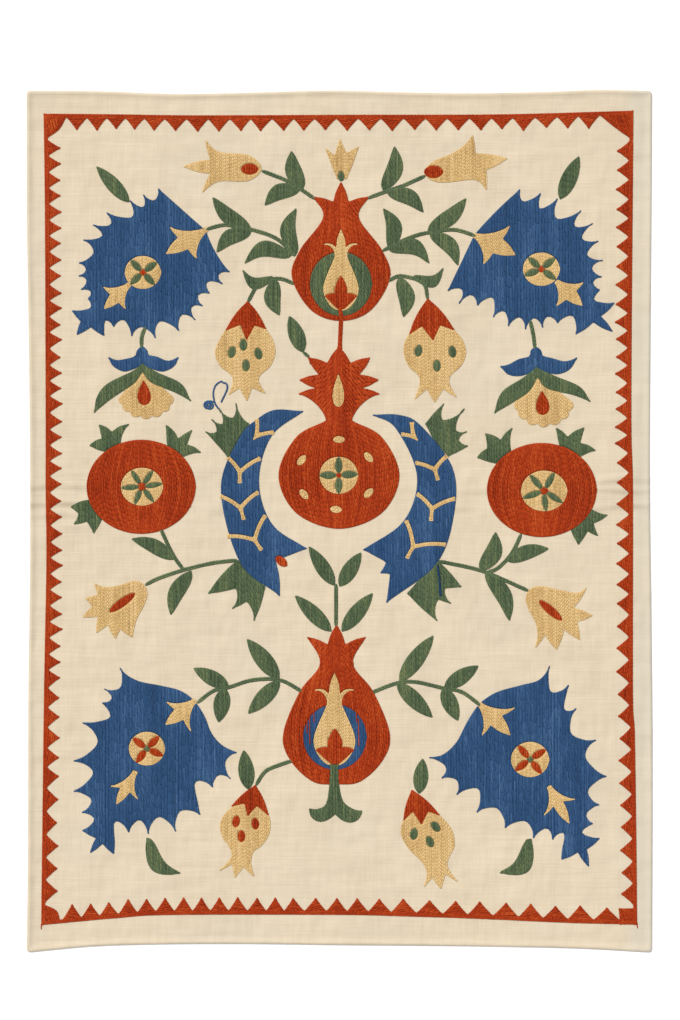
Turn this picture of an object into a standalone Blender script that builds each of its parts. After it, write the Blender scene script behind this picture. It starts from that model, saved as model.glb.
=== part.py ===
"""Ground cloth of an embroidered suzani, lying flat with its face up.

One woven cotton cloth with a narrow rolled hem. Its edges waver as hand-cut cloth
does, and it keeps the soft creases of having been folded across its middle.
X runs across the cloth, Y up it, and Z away from the surface that it lies on.
The origin is the middle of the resting face. Sizes are in metres.
"""

import bmesh
import bpy
import numpy as np

# The cloth between its four corners
CLOTH_WIDTH = 0.950
CLOTH_LENGTH = 1.309
CORNER_EASE = 0.005

# One layer of worked cotton, and the rolled hem along all four edges
CLOTH_THICKNESS = 0.0014
HEM_THICKNESS = 0.0024
HEM_WIDTH = 0.006

# How far each edge stands out from the straight line between its corners.
# share runs along the edge, from left to right or from bottom to top.
TOP_EDGE = (
    # share, out
    (0.00, 0.0000),
    (0.11, -0.0005),
    (0.24, -0.0046),
    (0.36, -0.0026),
    (0.48, 0.0004),
    (0.62, -0.0024),
    (0.72, -0.0034),
    (0.83, -0.0014),
    (0.92, 0.0014),
    (1.00, 0.0000),
)
BOTTOM_EDGE = (
    # share, out
    (0.00, 0.0000),
    (0.10, -0.0090),
    (0.22, -0.0126),
    (0.33, -0.0132),
    (0.50, -0.0114),
    (0.75, -0.0090),
    (0.90, -0.0055),
    (1.00, 0.0000),
)
LEFT_EDGE = (
    # share, out
    (0.00, 0.0000),
    (0.08, -0.0015),
    (0.30, -0.0026),
    (0.45, -0.0050),
    (0.54, -0.0052),
    (0.70, -0.0034),
    (0.85, -0.0004),
    (1.00, 0.0000),
)
RIGHT_EDGE = (
    # share, out
    (0.00, 0.0000),
    (0.25, 0.0006),
    (0.40, -0.0012),
    (0.54, -0.0034),
    (0.72, -0.0024),
    (0.88, -0.0008),
    (1.00, 0.0000),
)

# Soft ridges where the cloth was folded or pulled by its stitching. Each runs from one
# point to the other, as high as its rise at the middle and fading at both ends.
CREASES = (
    # from_x, from_y, to_x, to_y, rise, half_width
    (-0.500, 0.053, -0.360, 0.056, 0.0022, 0.009),
    (-0.500, 0.030, -0.330, 0.026, 0.0026, 0.008),
    (-0.500, 0.010, -0.350, 0.012, 0.0020, 0.008),
    (-0.430, -0.006, -0.350, -0.002, 0.0014, 0.009),
    (0.345, 0.062, 0.500, 0.066, 0.0022, 0.009),
    (0.330, 0.047, 0.500, 0.051, 0.0024, 0.008),
    (0.350, 0.020, 0.500, 0.028, 0.0024, 0.008),
    (-0.240, 0.022, -0.120, 0.018, 0.0012, 0.010),
    (0.140, 0.050, 0.240, 0.048, 0.0012, 0.009),
    (0.140, 0.018, 0.240, 0.022, 0.0012, 0.009),
    (0.030, 0.180, 0.110, 0.230, 0.0014, 0.016),
    (0.420, 0.560, 0.500, 0.562, 0.0012, 0.016),
    (0.430, 0.330, 0.500, 0.334, 0.0012, 0.018),
    (0.430, -0.115, 0.500, -0.112, 0.0012, 0.016),
    (0.420, -0.322, 0.500, -0.318, 0.0014, 0.018),
    (-0.500, -0.250, -0.420, -0.246, 0.0010, 0.018),
    (-0.500, 0.430, -0.420, 0.434, 0.0010, 0.018),
)

# Mesh lines, from one side of the cloth to the other, closest where the creases are
COLUMN_BANDS = (
    # from_share, to_share, spaces
    (0.000, 0.150, 7),
    (0.150, 0.850, 20),
    (0.850, 1.000, 7),
)
ROW_BANDS = (
    # from_share, to_share, spaces
    (0.000, 0.480, 17),
    (0.480, 0.560, 18),
    (0.560, 1.000, 16),
)

COTTON_COLOUR = (0.790, 0.660, 0.480, 1.0)
COTTON_ROUGHNESS = 0.9

COLLECTION_NAME = "suzani"
CLOTH_NAME = "ground_cloth"
LAYER_GROUP = "layers"


def clear_scene():
    """Remove every object, so that the script starts from an empty scene."""
    for existing in list(bpy.data.objects):
        bpy.data.objects.remove(existing, do_unlink=True)


def new_collection(name):
    """Add a collection to the scene."""
    collection = bpy.data.collections.new(name)
    bpy.context.scene.collection.children.link(collection)
    return collection


def cotton_material():
    """Undyed cream cotton, dull all over."""
    material = bpy.data.materials.new("cream_cotton")
    material.use_nodes = True
    shader = material.node_tree.nodes["Principled BSDF"]
    shader.inputs["Base Color"].default_value = COTTON_COLOUR
    shader.inputs["Roughness"].default_value = COTTON_ROUGHNESS
    shader.inputs["Metallic"].default_value = 0.0
    return material


def mesh_lines(bands, side):
    """Shares of a side where mesh lines run: both hem lines, and each band's spaces."""
    hem_share = HEM_WIDTH / side
    shares = [0.0, hem_share]
    for from_share, to_share, spaces in bands:
        start = max(from_share, hem_share)
        end = min(to_share, 1.0 - hem_share)
        for step in range(1, spaces + 1):
            shares.append(start + (end - start) * step / spaces)
    shares.append(1.0)
    return shares


def edge_sway(table, share):
    """How far an edge stands out at a share of its length, on a smooth curve."""
    shares = [row[0] for row in table]
    outs = [row[1] for row in table]
    after = min(max(int(np.searchsorted(shares, share)), 1), len(shares) - 1)
    before = after - 1
    slopes = np.gradient(outs, shares)
    span = shares[after] - shares[before]
    t = (share - shares[before]) / span
    from_point = (1.0 + 2.0 * t) * (1.0 - t) ** 2 * outs[before]
    to_point = t * t * (3.0 - 2.0 * t) * outs[after]
    from_slope = t * (1.0 - t) ** 2 * span * slopes[before]
    to_slope = t * t * (t - 1.0) * span * slopes[after]
    return from_point + to_point + from_slope + to_slope


def cloth_place(across, up):
    """Where a point of the cloth lies on the surface, from its shares of width and length."""
    x = (across - 0.5) * CLOTH_WIDTH
    y = (up - 0.5) * CLOTH_LENGTH
    x += across * edge_sway(RIGHT_EDGE, up) - (1.0 - across) * edge_sway(LEFT_EDGE, up)
    y += up * edge_sway(TOP_EDGE, across) - (1.0 - up) * edge_sway(BOTTOM_EDGE, across)
    return x, y


def crease_rise(x, y):
    """How far the creases lift the cloth off the surface at a point."""
    rise = 0.0
    for from_x, from_y, to_x, to_y, height, half_width in CREASES:
        along_x = to_x - from_x
        along_y = to_y - from_y
        length_squared = along_x**2 + along_y**2
        along = ((x - from_x) * along_x + (y - from_y) * along_y) / length_squared
        if not 0.0 < along < 1.0:
            continue
        gap = abs((x - from_x) * along_y - (y - from_y) * along_x) / length_squared**0.5
        if gap < half_width:
            section = 0.5 + 0.5 * np.cos(np.pi * gap / half_width)
            fade = np.sin(np.pi * along) ** 0.7
            rise = max(rise, height * section * fade)
    return rise


def add_ground_cloth(collection):
    """The whole cloth: a grid shaped to its edges and creases, then given its thickness."""
    columns = mesh_lines(COLUMN_BANDS, CLOTH_WIDTH)
    rows = mesh_lines(ROW_BANDS, CLOTH_LENGTH)
    grid = bmesh.new()
    bmesh.ops.create_grid(
        grid, x_segments=len(columns) - 1, y_segments=len(rows) - 1, size=0.5
    )
    corners = []
    for vertex in grid.verts:
        column = round((vertex.co.x + 0.5) * (len(columns) - 1))
        row = round((vertex.co.y + 0.5) * (len(rows) - 1))
        x, y = cloth_place(columns[column], rows[row])
        vertex.co = (x, y, crease_rise(x, y))
        if column in (0, len(columns) - 1) and row in (0, len(rows) - 1):
            corners.append(vertex)
    bmesh.ops.bevel(
        grid, geom=corners, offset=CORNER_EASE, segments=3, profile=0.5, affect="VERTICES"
    )
    mesh = bpy.data.meshes.new(CLOTH_NAME)
    grid.to_mesh(mesh)
    cloth = bpy.data.objects.new(CLOTH_NAME, mesh)
    collection.objects.link(cloth)
    mesh.materials.append(cotton_material())

    hem_points = edge_vertices(grid)
    grid.free()
    all_points = range(len(mesh.vertices))
    layers = cloth.vertex_groups.new(name=LAYER_GROUP)
    layers.add(list(all_points), CLOTH_THICKNESS / HEM_THICKNESS, "REPLACE")
    layers.add(hem_points, 1.0, "REPLACE")

    solidify = cloth.modifiers.new("thickness", "SOLIDIFY")
    solidify.thickness = HEM_THICKNESS
    solidify.offset = 1.0
    solidify.vertex_group = LAYER_GROUP
    mesh.shade_smooth()
    mesh.set_sharp_from_angle(angle=np.radians(40.0))
    return cloth


def edge_vertices(grid):
    """Numbers of the points along the cloth's four edges."""
    return [vertex.index for vertex in grid.verts if vertex.is_boundary]


clear_scene()
add_ground_cloth(new_collection(COLLECTION_NAME))
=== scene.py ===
import math

import bpy
import numpy as np
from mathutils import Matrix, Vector, geometry


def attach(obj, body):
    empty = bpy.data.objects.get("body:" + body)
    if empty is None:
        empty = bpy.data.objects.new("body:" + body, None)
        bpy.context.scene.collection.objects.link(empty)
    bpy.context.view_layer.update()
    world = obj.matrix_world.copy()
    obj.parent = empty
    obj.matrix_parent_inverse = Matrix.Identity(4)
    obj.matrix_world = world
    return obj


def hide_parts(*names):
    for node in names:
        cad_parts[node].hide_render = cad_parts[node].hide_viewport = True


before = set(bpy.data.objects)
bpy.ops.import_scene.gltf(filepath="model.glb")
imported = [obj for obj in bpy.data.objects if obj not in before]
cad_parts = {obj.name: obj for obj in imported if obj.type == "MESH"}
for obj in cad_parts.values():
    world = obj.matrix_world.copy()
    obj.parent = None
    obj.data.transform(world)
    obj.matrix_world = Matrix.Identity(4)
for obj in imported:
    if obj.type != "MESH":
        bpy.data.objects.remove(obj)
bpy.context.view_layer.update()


# The camera looks straight down on the cloth from far off, as a copying camera does,
# so that the cloth lies square in the frame. Places on the cloth are read in photo pixels.
PHOTO_LENGTH = 1020
PHOTO_MIDDLE = (340.0, 510.0)
CLOTH_MIDDLE = (339.2, 521.55)
PIXEL = 0.00152
LENS = 85.0
SENSOR = 36.0
FARTHEST_SEEN = 50.0


def place(photo_x, photo_y):
    """Where a photo pixel lies on the cloth, in metres."""
    return np.array(((photo_x - CLOTH_MIDDLE[0]) * PIXEL, (CLOTH_MIDDLE[1] - photo_y) * PIXEL))


camera_data = bpy.data.cameras.new("camera")
camera_data.lens = LENS
camera_data.sensor_width = SENSOR
camera_data.clip_end = FARTHEST_SEEN
camera = bpy.data.objects.new("camera", camera_data)
camera.location = (*place(*PHOTO_MIDDLE), PHOTO_LENGTH * PIXEL * LENS / SENSOR)
bpy.context.scene.collection.objects.link(camera)
bpy.context.scene.camera = camera


# The ground cloth: one undyed cotton cloth in plain weave, cut by hand and hemmed with a
# narrow roll. Its edges waver, and it keeps the creases of having been folded across the middle.
CLOTH_WIDTH = 0.950
CLOTH_LENGTH = 1.309
CORNER_RADIUS = 0.0055
CLOTH_THICKNESS = 0.0014
HEM_THICKNESS = 0.0024
EDGE_THICKNESS = 0.0012
HEM_LINES = (0.0, 0.0012, 0.0030, 0.0050, 0.0064)
HEM_PROFILE = (EDGE_THICKNESS, HEM_THICKNESS, HEM_THICKNESS, HEM_THICKNESS, CLOTH_THICKNESS)

# How far each edge stands out from the straight line between its corners, along its length
TOP_EDGE = (
    # share, out
    (0.00, 0.0000), (0.11, -0.0005), (0.24, -0.0046), (0.36, -0.0026), (0.48, 0.0004),
    (0.62, -0.0024), (0.72, -0.0034), (0.83, -0.0014), (0.92, 0.0014), (1.00, 0.0000),
)
BOTTOM_EDGE = (
    # share, out
    (0.00, 0.0000), (0.10, -0.0090), (0.22, -0.0126), (0.33, -0.0132), (0.50, -0.0114),
    (0.75, -0.0090), (0.90, -0.0055), (1.00, 0.0000),
)
LEFT_EDGE = (
    # share, out
    (0.00, 0.0000), (0.08, -0.0015), (0.30, -0.0026), (0.45, -0.0050), (0.54, -0.0052),
    (0.70, -0.0034), (0.85, -0.0004), (1.00, 0.0000),
)
RIGHT_EDGE = (
    # share, out
    (0.00, 0.0000), (0.25, 0.0006), (0.40, -0.0012), (0.54, -0.0034), (0.72, -0.0024),
    (0.88, -0.0008), (1.00, 0.0000),
)

# Soft ridges, as high as their rise at the middle of their way and fading at both ends
CREASES = (
    # from_x, from_y, to_x, to_y, rise, half_width
    (-0.500, 0.053, -0.360, 0.056, 0.0022, 0.009),
    (-0.500, 0.030, -0.330, 0.026, 0.0026, 0.008),
    (-0.500, 0.010, -0.350, 0.012, 0.0020, 0.008),
    (-0.430, -0.006, -0.350, -0.002, 0.0014, 0.009),
    (0.345, 0.062, 0.500, 0.066, 0.0022, 0.009),
    (0.330, 0.047, 0.500, 0.051, 0.0024, 0.008),
    (0.350, 0.020, 0.500, 0.028, 0.0024, 0.008),
    (-0.240, 0.022, -0.120, 0.018, 0.0012, 0.010),
    (0.140, 0.050, 0.240, 0.048, 0.0012, 0.009),
    (0.140, 0.018, 0.240, 0.022, 0.0012, 0.009),
    (0.030, 0.180, 0.110, 0.230, 0.0014, 0.016),
    (0.420, 0.560, 0.500, 0.562, 0.0012, 0.016),
    (0.430, 0.330, 0.500, 0.334, 0.0012, 0.018),
    (0.430, -0.115, 0.500, -0.112, 0.0012, 0.016),
    (0.420, -0.322, 0.500, -0.318, 0.0014, 0.018),
    (-0.500, -0.250, -0.420, -0.246, 0.0010, 0.018),
    (-0.500, 0.430, -0.420, 0.434, 0.0010, 0.018),
)

# The creases have been pressed part flat, and none of them runs quite straight or evenly.
PRESSED = 0.42
CREASE_WANDER = 0.0020
WANDER_RATE = 48
WANDER_START = 300
FADE_RATE = 95
FADE_START = 500
FADE_SHARE = 0.25
FADE_POWER = 0.7
# Each crease has a painted shade line along one flank: its place off the ridge, width and strength.
SHADE_PLACE = 0.5
SHADE_WIDTH = 0.0045
SHADE_RISE = 0.0026

# The mesh's lines lie closest where the creases are.
COLUMN_SPACE = 0.0075
ROW_SPACE = 0.0070
CREASE_BAND = (-0.020, 0.085)
CREASE_ROW_SPACE = 0.0024

# The bare margins have washed greyer than the worked field, most of all on the right.
MARGIN_START = 0.425
MARGIN_FADE = 0.03
RIGHT_GREY = 0.55
LEFT_GREY = 0.15


def sway(table, share):
    """How far an edge stands out at shares of its length, on a smooth curve."""
    shares, outs = np.array(table).T
    after = np.clip(np.searchsorted(shares, share), 1, len(shares) - 1)
    before = after - 1
    slopes = np.gradient(outs, shares)
    span = shares[after] - shares[before]
    t = (share - shares[before]) / span
    points = (1 + 2 * t) * (1 - t) ** 2 * outs[before] + t * t * (3 - 2 * t) * outs[after]
    return points + span * t * (1 - t) * ((1 - t) * slopes[before] - t * slopes[after])


def crease_marks(x, y):
    """How high the creases lift the cloth at each point, and the painted shade along them."""
    rises = np.zeros_like(x)
    crease_shades = np.zeros_like(x)
    for from_x, from_y, to_x, to_y, rise, half_width in CREASES:
        along_x, along_y = to_x - from_x, to_y - from_y
        length = math.hypot(along_x, along_y)
        along = ((x - from_x) * along_x + (y - from_y) * along_y) / length**2
        side = ((x - from_x) * along_y - (y - from_y) * along_x) / length
        side = side + CREASE_WANDER * np.sin(WANDER_RATE * x + WANDER_START * from_y)
        fade = np.sin(np.pi * np.clip(along, 0, 1)) ** FADE_POWER
        fade *= 1 - FADE_SHARE + FADE_SHARE * np.sin(FADE_RATE * x + FADE_START * from_y)
        section = 0.5 + 0.5 * np.cos(np.pi * np.clip(side / half_width, -1, 1))
        rises = np.maximum(rises, rise * section * fade)
        # Painted shade: a dark line beside the ridge, where the crease's shade falls.
        shade_line = np.exp(-(((side - half_width * SHADE_PLACE) / SHADE_WIDTH) ** 2))
        crease_shades = np.maximum(crease_shades, shade_line * fade * (rise / SHADE_RISE) ** 2)
    return rises * PRESSED, crease_shades


def hemmed_lines(side, bands):
    """Places of the mesh's lines from one edge to the other, with both hems' own lines."""
    hem = np.array(HEM_LINES)
    inner = []
    for start, end, space in bands:
        inner.extend(np.linspace(start, end, max(1, round((end - start) / space)) + 1)[1:])
    return np.concatenate([hem - side / 2, inner[:-1], side / 2 - hem[::-1]])


class Value:
    """One output of a node, so that sums on it are written as Python expressions."""

    def __init__(self, finish, socket):
        self.finish = finish
        self.socket = socket

    def maths(self, operation, first, second):
        return self.finish.add("ShaderNodeMath", {"operation": operation}, {0: first, 1: second})

    def __add__(self, other):
        return self.maths("ADD", self, other)

    __radd__ = __add__

    def __mul__(self, other):
        return self.maths("MULTIPLY", self, other)

    __rmul__ = __mul__

    def __sub__(self, other):
        return self.maths("SUBTRACT", self, other)

    def __rsub__(self, other):
        return self.maths("SUBTRACT", other, self)


class Finish:
    """A material on one Principled shader, and the nodes that feed it."""

    def __init__(self, name, constants):
        self.material = bpy.data.materials.new(name)
        self.material.use_nodes = True
        self.tree = self.material.node_tree
        self.shader = self.tree.nodes["Principled BSDF"]
        for socket, value in constants.items():
            self.shader.inputs[socket].default_value = value

    def add(self, kind, settings, inputs, output=0):
        """Add a node of a kind, set it up, fill its sockets and give one of its outputs."""
        node = self.tree.nodes.new(kind)
        for name, value in settings.items():
            setattr(node, name, value)
        for key, value in inputs.items():
            if isinstance(value, Value):
                self.tree.links.new(value.socket, node.inputs[key])
            else:
                node.inputs[key].default_value = value
        return Value(self, node.outputs[output])

    def feed(self, socket, value):
        self.tree.links.new(value.socket, self.shader.inputs[socket])

    def noise(self, scales, detail, start):
        """Noise on the piece's own coordinates, with its own scale along each axis."""
        spot = self.add("ShaderNodeTexCoord", {}, {}, "Object")
        moved = self.add(
            "ShaderNodeMapping", {}, {"Vector": spot, "Scale": scales, "Location": (start, 0, 0)}
        )
        return self.add(
            "ShaderNodeTexNoise", {}, {"Vector": moved, "Scale": 1.0, "Detail": detail}
        )

    def attribute(self, name):
        return self.add("ShaderNodeAttribute", {"attribute_name": name}, {}, "Fac")

    def mixed(self, share, first, second):
        """A colour between two, by share."""
        return self.add(
            "ShaderNodeMix", {"data_type": "RGBA"}, {0: share, 6: first, 7: second}, 2
        )

    def raise_by(self, height, distance, strength):
        """Feed a height to the shader's normal."""
        bump = {"Height": height, "Distance": distance, "Strength": strength}
        self.feed("Normal", self.add("ShaderNodeBump", {}, bump))


COTTON_PALE = (0.710, 0.600, 0.440, 1.0)
COTTON_DEEP = (0.560, 0.445, 0.300, 1.0)
COTTON_GREY = (0.580, 0.525, 0.425, 1.0)
# The darkest colour is painted shade for the creases.
COTTON_CREASE_SHADE = (0.330, 0.245, 0.150, 1.0)
YARNS_A_METRE = 820.0
YARN_STREAKS_A_METRE = 40.0


def cotton_finish():
    """Undyed plain weave: uneven yarns both ways, slubs, painted shade along the creases."""
    cotton = Finish(
        "cream_cotton",
        {"Sheen Weight": 0.12, "Sheen Roughness": 0.6, "Specular IOR Level": 0.2},
    )
    warp = cotton.noise((YARNS_A_METRE, YARN_STREAKS_A_METRE, 1.0), 2.0, 3.1)
    weft = cotton.noise((YARN_STREAKS_A_METRE, YARNS_A_METRE, 1.0), 2.0, 7.7)
    slubs = cotton.noise((9.0, 420.0, 1.0), 1.0, 1.3)
    bands = cotton.noise((330.0, 14.0, 1.0), 2.0, 6.6)
    bands = bands + cotton.noise((14.0, 330.0, 1.0), 2.0, 2.8)
    mottle = cotton.noise((14.0, 11.0, 1.0), 3.0, 5.9)
    clouds = cotton.noise((5.0, 6.0, 1.0), 2.0, 9.4)
    yarn = (warp + weft) * 0.5
    deep = (yarn - 0.5) * 1.1 + (slubs - 0.5) * 0.5 + (bands - 1.0) * 0.5 + mottle * 0.6
    colour = cotton.mixed(deep, COTTON_PALE, COTTON_DEEP)
    grey = (clouds - 0.35) * 0.6 + cotton.attribute("washed")
    colour = cotton.mixed(grey, colour, COTTON_GREY)
    # Painted shade: a darker brown mixed in along the creases.
    colour = cotton.mixed(cotton.attribute("crease_shade") * 0.4, colour, COTTON_CREASE_SHADE)
    cotton.feed("Base Color", colour)
    cotton.feed("Roughness", yarn * 0.2 + 0.78)
    wrinkles = cotton.noise((13.0, 30.0, 1.0), 1.0, 8.8) + cotton.noise((38.0, 20.0, 1.0), 1.0, 5.2)
    cotton.raise_by(yarn + slubs * 0.4 + wrinkles * 14.0, 0.0004, 0.5)
    return cotton.material


columns = hemmed_lines(
    CLOTH_WIDTH,
    ((HEM_LINES[-1] - CLOTH_WIDTH / 2, CLOTH_WIDTH / 2 - HEM_LINES[-1], COLUMN_SPACE),),
)
rows = hemmed_lines(
    CLOTH_LENGTH,
    (
        (HEM_LINES[-1] - CLOTH_LENGTH / 2, CREASE_BAND[0], ROW_SPACE),
        (CREASE_BAND[0], CREASE_BAND[1], CREASE_ROW_SPACE),
        (CREASE_BAND[1], CLOTH_LENGTH / 2 - HEM_LINES[-1], ROW_SPACE),
    ),
)
bpy.ops.object.select_all(action="DESELECT")
bpy.ops.mesh.primitive_grid_add(
    x_subdivisions=len(columns) - 1, y_subdivisions=len(rows) - 1, size=1.0
)
cloth = bpy.context.object
cloth.name = "cotton_ground"
grid = np.empty(len(cloth.data.vertices) * 3)
cloth.data.vertices.foreach_get("co", grid)
grid = grid.reshape(-1, 3)
flat_x = columns[np.rint((grid[:, 0] + 0.5) * (len(columns) - 1)).astype(int)]
flat_y = rows[np.rint((grid[:, 1] + 0.5) * (len(rows) - 1)).astype(int)]
edge_gap = np.minimum(CLOTH_WIDTH / 2 - abs(flat_x), CLOTH_LENGTH / 2 - abs(flat_y))
# Points near a corner move from a square round the corner's centre to a circle.
over_x = np.maximum(abs(flat_x) - (CLOTH_WIDTH / 2 - CORNER_RADIUS), 0)
over_y = np.maximum(abs(flat_y) - (CLOTH_LENGTH / 2 - CORNER_RADIUS), 0)
ease = 1 - np.maximum(over_x, over_y) / np.maximum(np.hypot(over_x, over_y), 1e-9)
flat_x -= np.sign(flat_x) * over_x * ease
flat_y -= np.sign(flat_y) * over_y * ease
across = flat_x / CLOTH_WIDTH + 0.5
up = flat_y / CLOTH_LENGTH + 0.5
cloth_x = flat_x + across * sway(RIGHT_EDGE, up) - (1 - across) * sway(LEFT_EDGE, up)
cloth_y = flat_y + up * sway(TOP_EDGE, across) - (1 - up) * sway(BOTTOM_EDGE, across)
cloth_rise, cloth_crease_shade = crease_marks(cloth_x, cloth_y)
cloth.data.vertices.foreach_set("co", np.stack([cloth_x, cloth_y, cloth_rise], 1).ravel())
# The painted crease shade rides on the cloth as an attribute for its material.
crease_shade = cloth.data.attributes.new("crease_shade", "FLOAT", "POINT")
crease_shade.data.foreach_set("value", cloth_crease_shade.astype(np.float32))
margin = np.clip((abs(cloth_x) - MARGIN_START) / MARGIN_FADE, 0, 1)
margin *= np.where(cloth_x > 0, RIGHT_GREY, LEFT_GREY)
washed = cloth.data.attributes.new("washed", "FLOAT", "POINT")
washed.data.foreach_set("value", margin.astype(np.float32))
layers = cloth.vertex_groups.new(name="layers")
for index, thickness in enumerate(np.interp(edge_gap, HEM_LINES, HEM_PROFILE)):
    layers.add([index], thickness / HEM_THICKNESS, "REPLACE")
solidify = cloth.modifiers.new("thickness", "SOLIDIFY")
solidify.thickness = HEM_THICKNESS
solidify.offset = 1.0
solidify.vertex_group = "layers"
bpy.ops.object.modifier_apply(modifier=solidify.name)
cloth.data.materials.append(cotton_finish())
cloth.data.shade_smooth()
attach(cloth, "root")
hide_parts("ground_cloth")


# The red sawtooth border: a straight band with teeth that point inwards, worked tooth by tooth
# in red thread. Each shape is filled with rows of laid stitches and edged with short ones.
chance = np.random.default_rng(11)

bpy.ops.object.select_all(action="DESELECT")
bpy.ops.mesh.primitive_uv_sphere_add(segments=4, ring_count=3, radius=0.5)
model_stitch = bpy.context.object
bpy.ops.object.mode_set(mode="EDIT")
bpy.ops.mesh.select_all(action="SELECT")
bpy.ops.transform.rotate(
    value=math.radians(90), orient_axis="X", orient_type="GLOBAL", center_override=(0, 0, 0)
)
bpy.ops.object.mode_set(mode="OBJECT")
STITCH_POINTS = np.array([vertex.co for vertex in model_stitch.data.vertices])
STITCH_FACES = [np.array(face.vertices) for face in model_stitch.data.polygons]
bpy.data.objects.remove(model_stitch)
# A stitch keeps its full width for two thirds of its length, and its foot lies at no height.
waist = abs(STITCH_POINTS[:, 1]) < 0.45
full_width = 1 / math.cos(math.radians(30))
STITCH_POINTS[waist] *= (full_width, 4 / 3, full_width)
STITCH_POINTS[:, 2] += 0.5

# The underlay is a thin closed layer, toned darker to paint the shade between stitches. Short
# stitches in a line cover its edge, and this line comes nearer to the edge where it ends at a
# corner.
UNDERLAY_LOW = -0.0001
UNDERLAY_HIGH = 0.00045
UNDERLAY_SPACE = 0.006
UNDERLAY_SHADE_TONE = -0.25
OUTLINE_STITCH = 0.0055
OUTLINE_WIDTH = 0.0019
SHORTEST_STITCH = 0.0004
TAPER = 0.0045
SHARP_TURN = math.radians(38)


def thread_finish(name, dark, middle, light):
    """Dyed thread: each stitch takes its own tone, with fine fibres along it."""
    dyed = Finish(
        name,
        {
            "Sheen Weight": 0.08,
            "Sheen Roughness": 0.5,
            "Sheen Tint": light,
            "Specular IOR Level": 0.10,
        },
    )
    fibres = dyed.noise((1500.0, 220.0, 1500.0), 2.0, 2.3)
    worn = dyed.noise((30.0, 12.0, 30.0), 2.0, 4.5)
    depth = dyed.attribute("tone") + (fibres - 0.5) * 0.35 + (worn - 0.5) * 0.25 + 0.5
    deep_half = dyed.mixed(depth * 2.0, dark, middle)
    dyed.feed("Base Color", dyed.mixed(depth * 2.0 - 1.0, deep_half, light))
    dyed.feed("Roughness", fibres * 0.15 + 0.6)
    dyed.raise_by(fibres, 0.0002, 0.5)
    return dyed.material


class Thread:
    """One colour of thread, and the way its rows are worked."""

    def __init__(self, slot, tones, pitch, stitch, height, tilt, strands, uneven, streak):
        self.slot = slot
        self.material = thread_finish(slot, *tones)
        self.pitch = pitch
        self.stitch = stitch
        self.height = height
        self.tilt = tilt
        self.strands = strands
        self.uneven = uneven
        self.streak = streak


def turned(points, angle):
    """Points turned about the origin."""
    c, s = math.cos(angle), math.sin(angle)
    return np.asarray(points) @ np.array([[c, s], [-s, c]])


def arc(start, end, bulge, step=0.0025):
    """An arc that bulges to the left of its way, by a share of its chord."""
    chord = math.dist(start, end)
    t = np.linspace(0, 1, max(1, round(chord / step)) + 1)[:, None]
    if abs(bulge) < 0.01:
        return start + (end - start) * t
    sweep = 4 * math.atan(2 * bulge)
    radius = chord / (2 * math.sin(sweep / 2))
    way = (end - start) / chord
    left = np.array([-way[1], way[0]])
    centre = (start + end) / 2 - left * radius * math.cos(sweep / 2)
    turn = sweep / 2 - sweep * t
    return centre + radius * (left * np.cos(turn) - way * np.sin(turn))


def bent(points, step=0.003):
    """A smooth curve through points."""
    points = np.asarray(points, float)
    ends = np.vstack([2 * points[0] - points[1], points, 2 * points[-1] - points[-2]])
    found = []
    for a, b, c, d in zip(ends, ends[1:], ends[2:], ends[3:]):
        t = np.linspace(0, 1, max(2, round(math.dist(b, c) / step)), endpoint=False)[:, None]
        found.append(
            b + (c - a) * t / 2 + (a - 2.5 * b + 2 * c - d / 2) * t**2
            + (1.5 * b - a / 2 - 1.5 * c + d / 2) * t**3
        )
    return np.vstack([*found, points[-1:]])


def signed_area(shape):
    """Twice a closed shape's area, below nothing where it runs clockwise."""
    after = np.roll(shape, -1, 0)
    return np.sum(shape[:, 0] * after[:, 1] - shape[:, 1] * after[:, 0])


CURVES = ("flow", "tip")
LOBE_BULGE = 0.07
# A bay runs through a place before its bottom, its bottom, and a place after it.
NEAR_PLACE = 0.3
NEAR_DEPTH = 0.85
NEAR_RISE = 0.62
FAR_PLACE = 0.56
FAR_DEPTH = 0.54


def rim(corners):
    """A closed outline from its tips. Each row is x, y, the cut to the next tip and its amount:
    an edge's bulge outwards, a notch's depth, or a bay's depth and the place of its bottom,
    all as shares of the way.
    A flow runs on smoothly through the next row if that is a flow too, and a tip starts one."""
    spots = np.array([row[:2] for row in corners], float)
    kinds = [row[2] for row in corners]
    free = [i for i, kind in enumerate(kinds) if not (kind == "flow" and kinds[i - 1] in CURVES)]
    first = free[0] if free else 0
    outside = -1.0 if signed_area(spots) > 0 else 1.0
    found = []
    flow = []
    for number in range(len(corners)):
        here = (first + number) % len(corners)
        after = (here + 1) % len(corners)
        start, end, amount = spots[here], spots[after], corners[here][3]
        way = end - start
        inward = np.array([way[1], -way[0]]) * outside
        if kinds[here] in CURVES:
            flow = [*(flow or [start]), end]
            if kinds[after] != "flow" or number == len(corners) - 1:
                found.append(bent(flow)[:-1])
                flow = []
        elif kinds[here] == "edge":
            found.append(arc(start, end, amount * outside)[:-1])
        elif kinds[here] == "notch":
            middle = start + way * 0.5 + inward * amount
            found.append(arc(start, middle, LOBE_BULGE * outside)[:-1])
            found.append(arc(middle, end, LOBE_BULGE * outside)[:-1])
        else:
            deep, share = amount
            near = (NEAR_PLACE * share, NEAR_DEPTH - NEAR_RISE * share)
            far = (FAR_PLACE + FAR_PLACE * share, FAR_DEPTH)
            steps = (near, (share, 1.0), far)
            bays = [start + way * s + inward * deep * part for s, part in steps]
            found.append(bent([start, *bays, end])[:-1])
    return np.vstack(found)


def placed(path):
    """A path of photo pixels as places on the cloth."""
    return [place(*spot) for spot in path]


def on_photo(groups):
    """Rows for an outline from groups of photo pixels that share a cut and its amount."""
    return [(*place(*spot), cut, amount) for cut, amount, *spots in groups for spot in spots]


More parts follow.
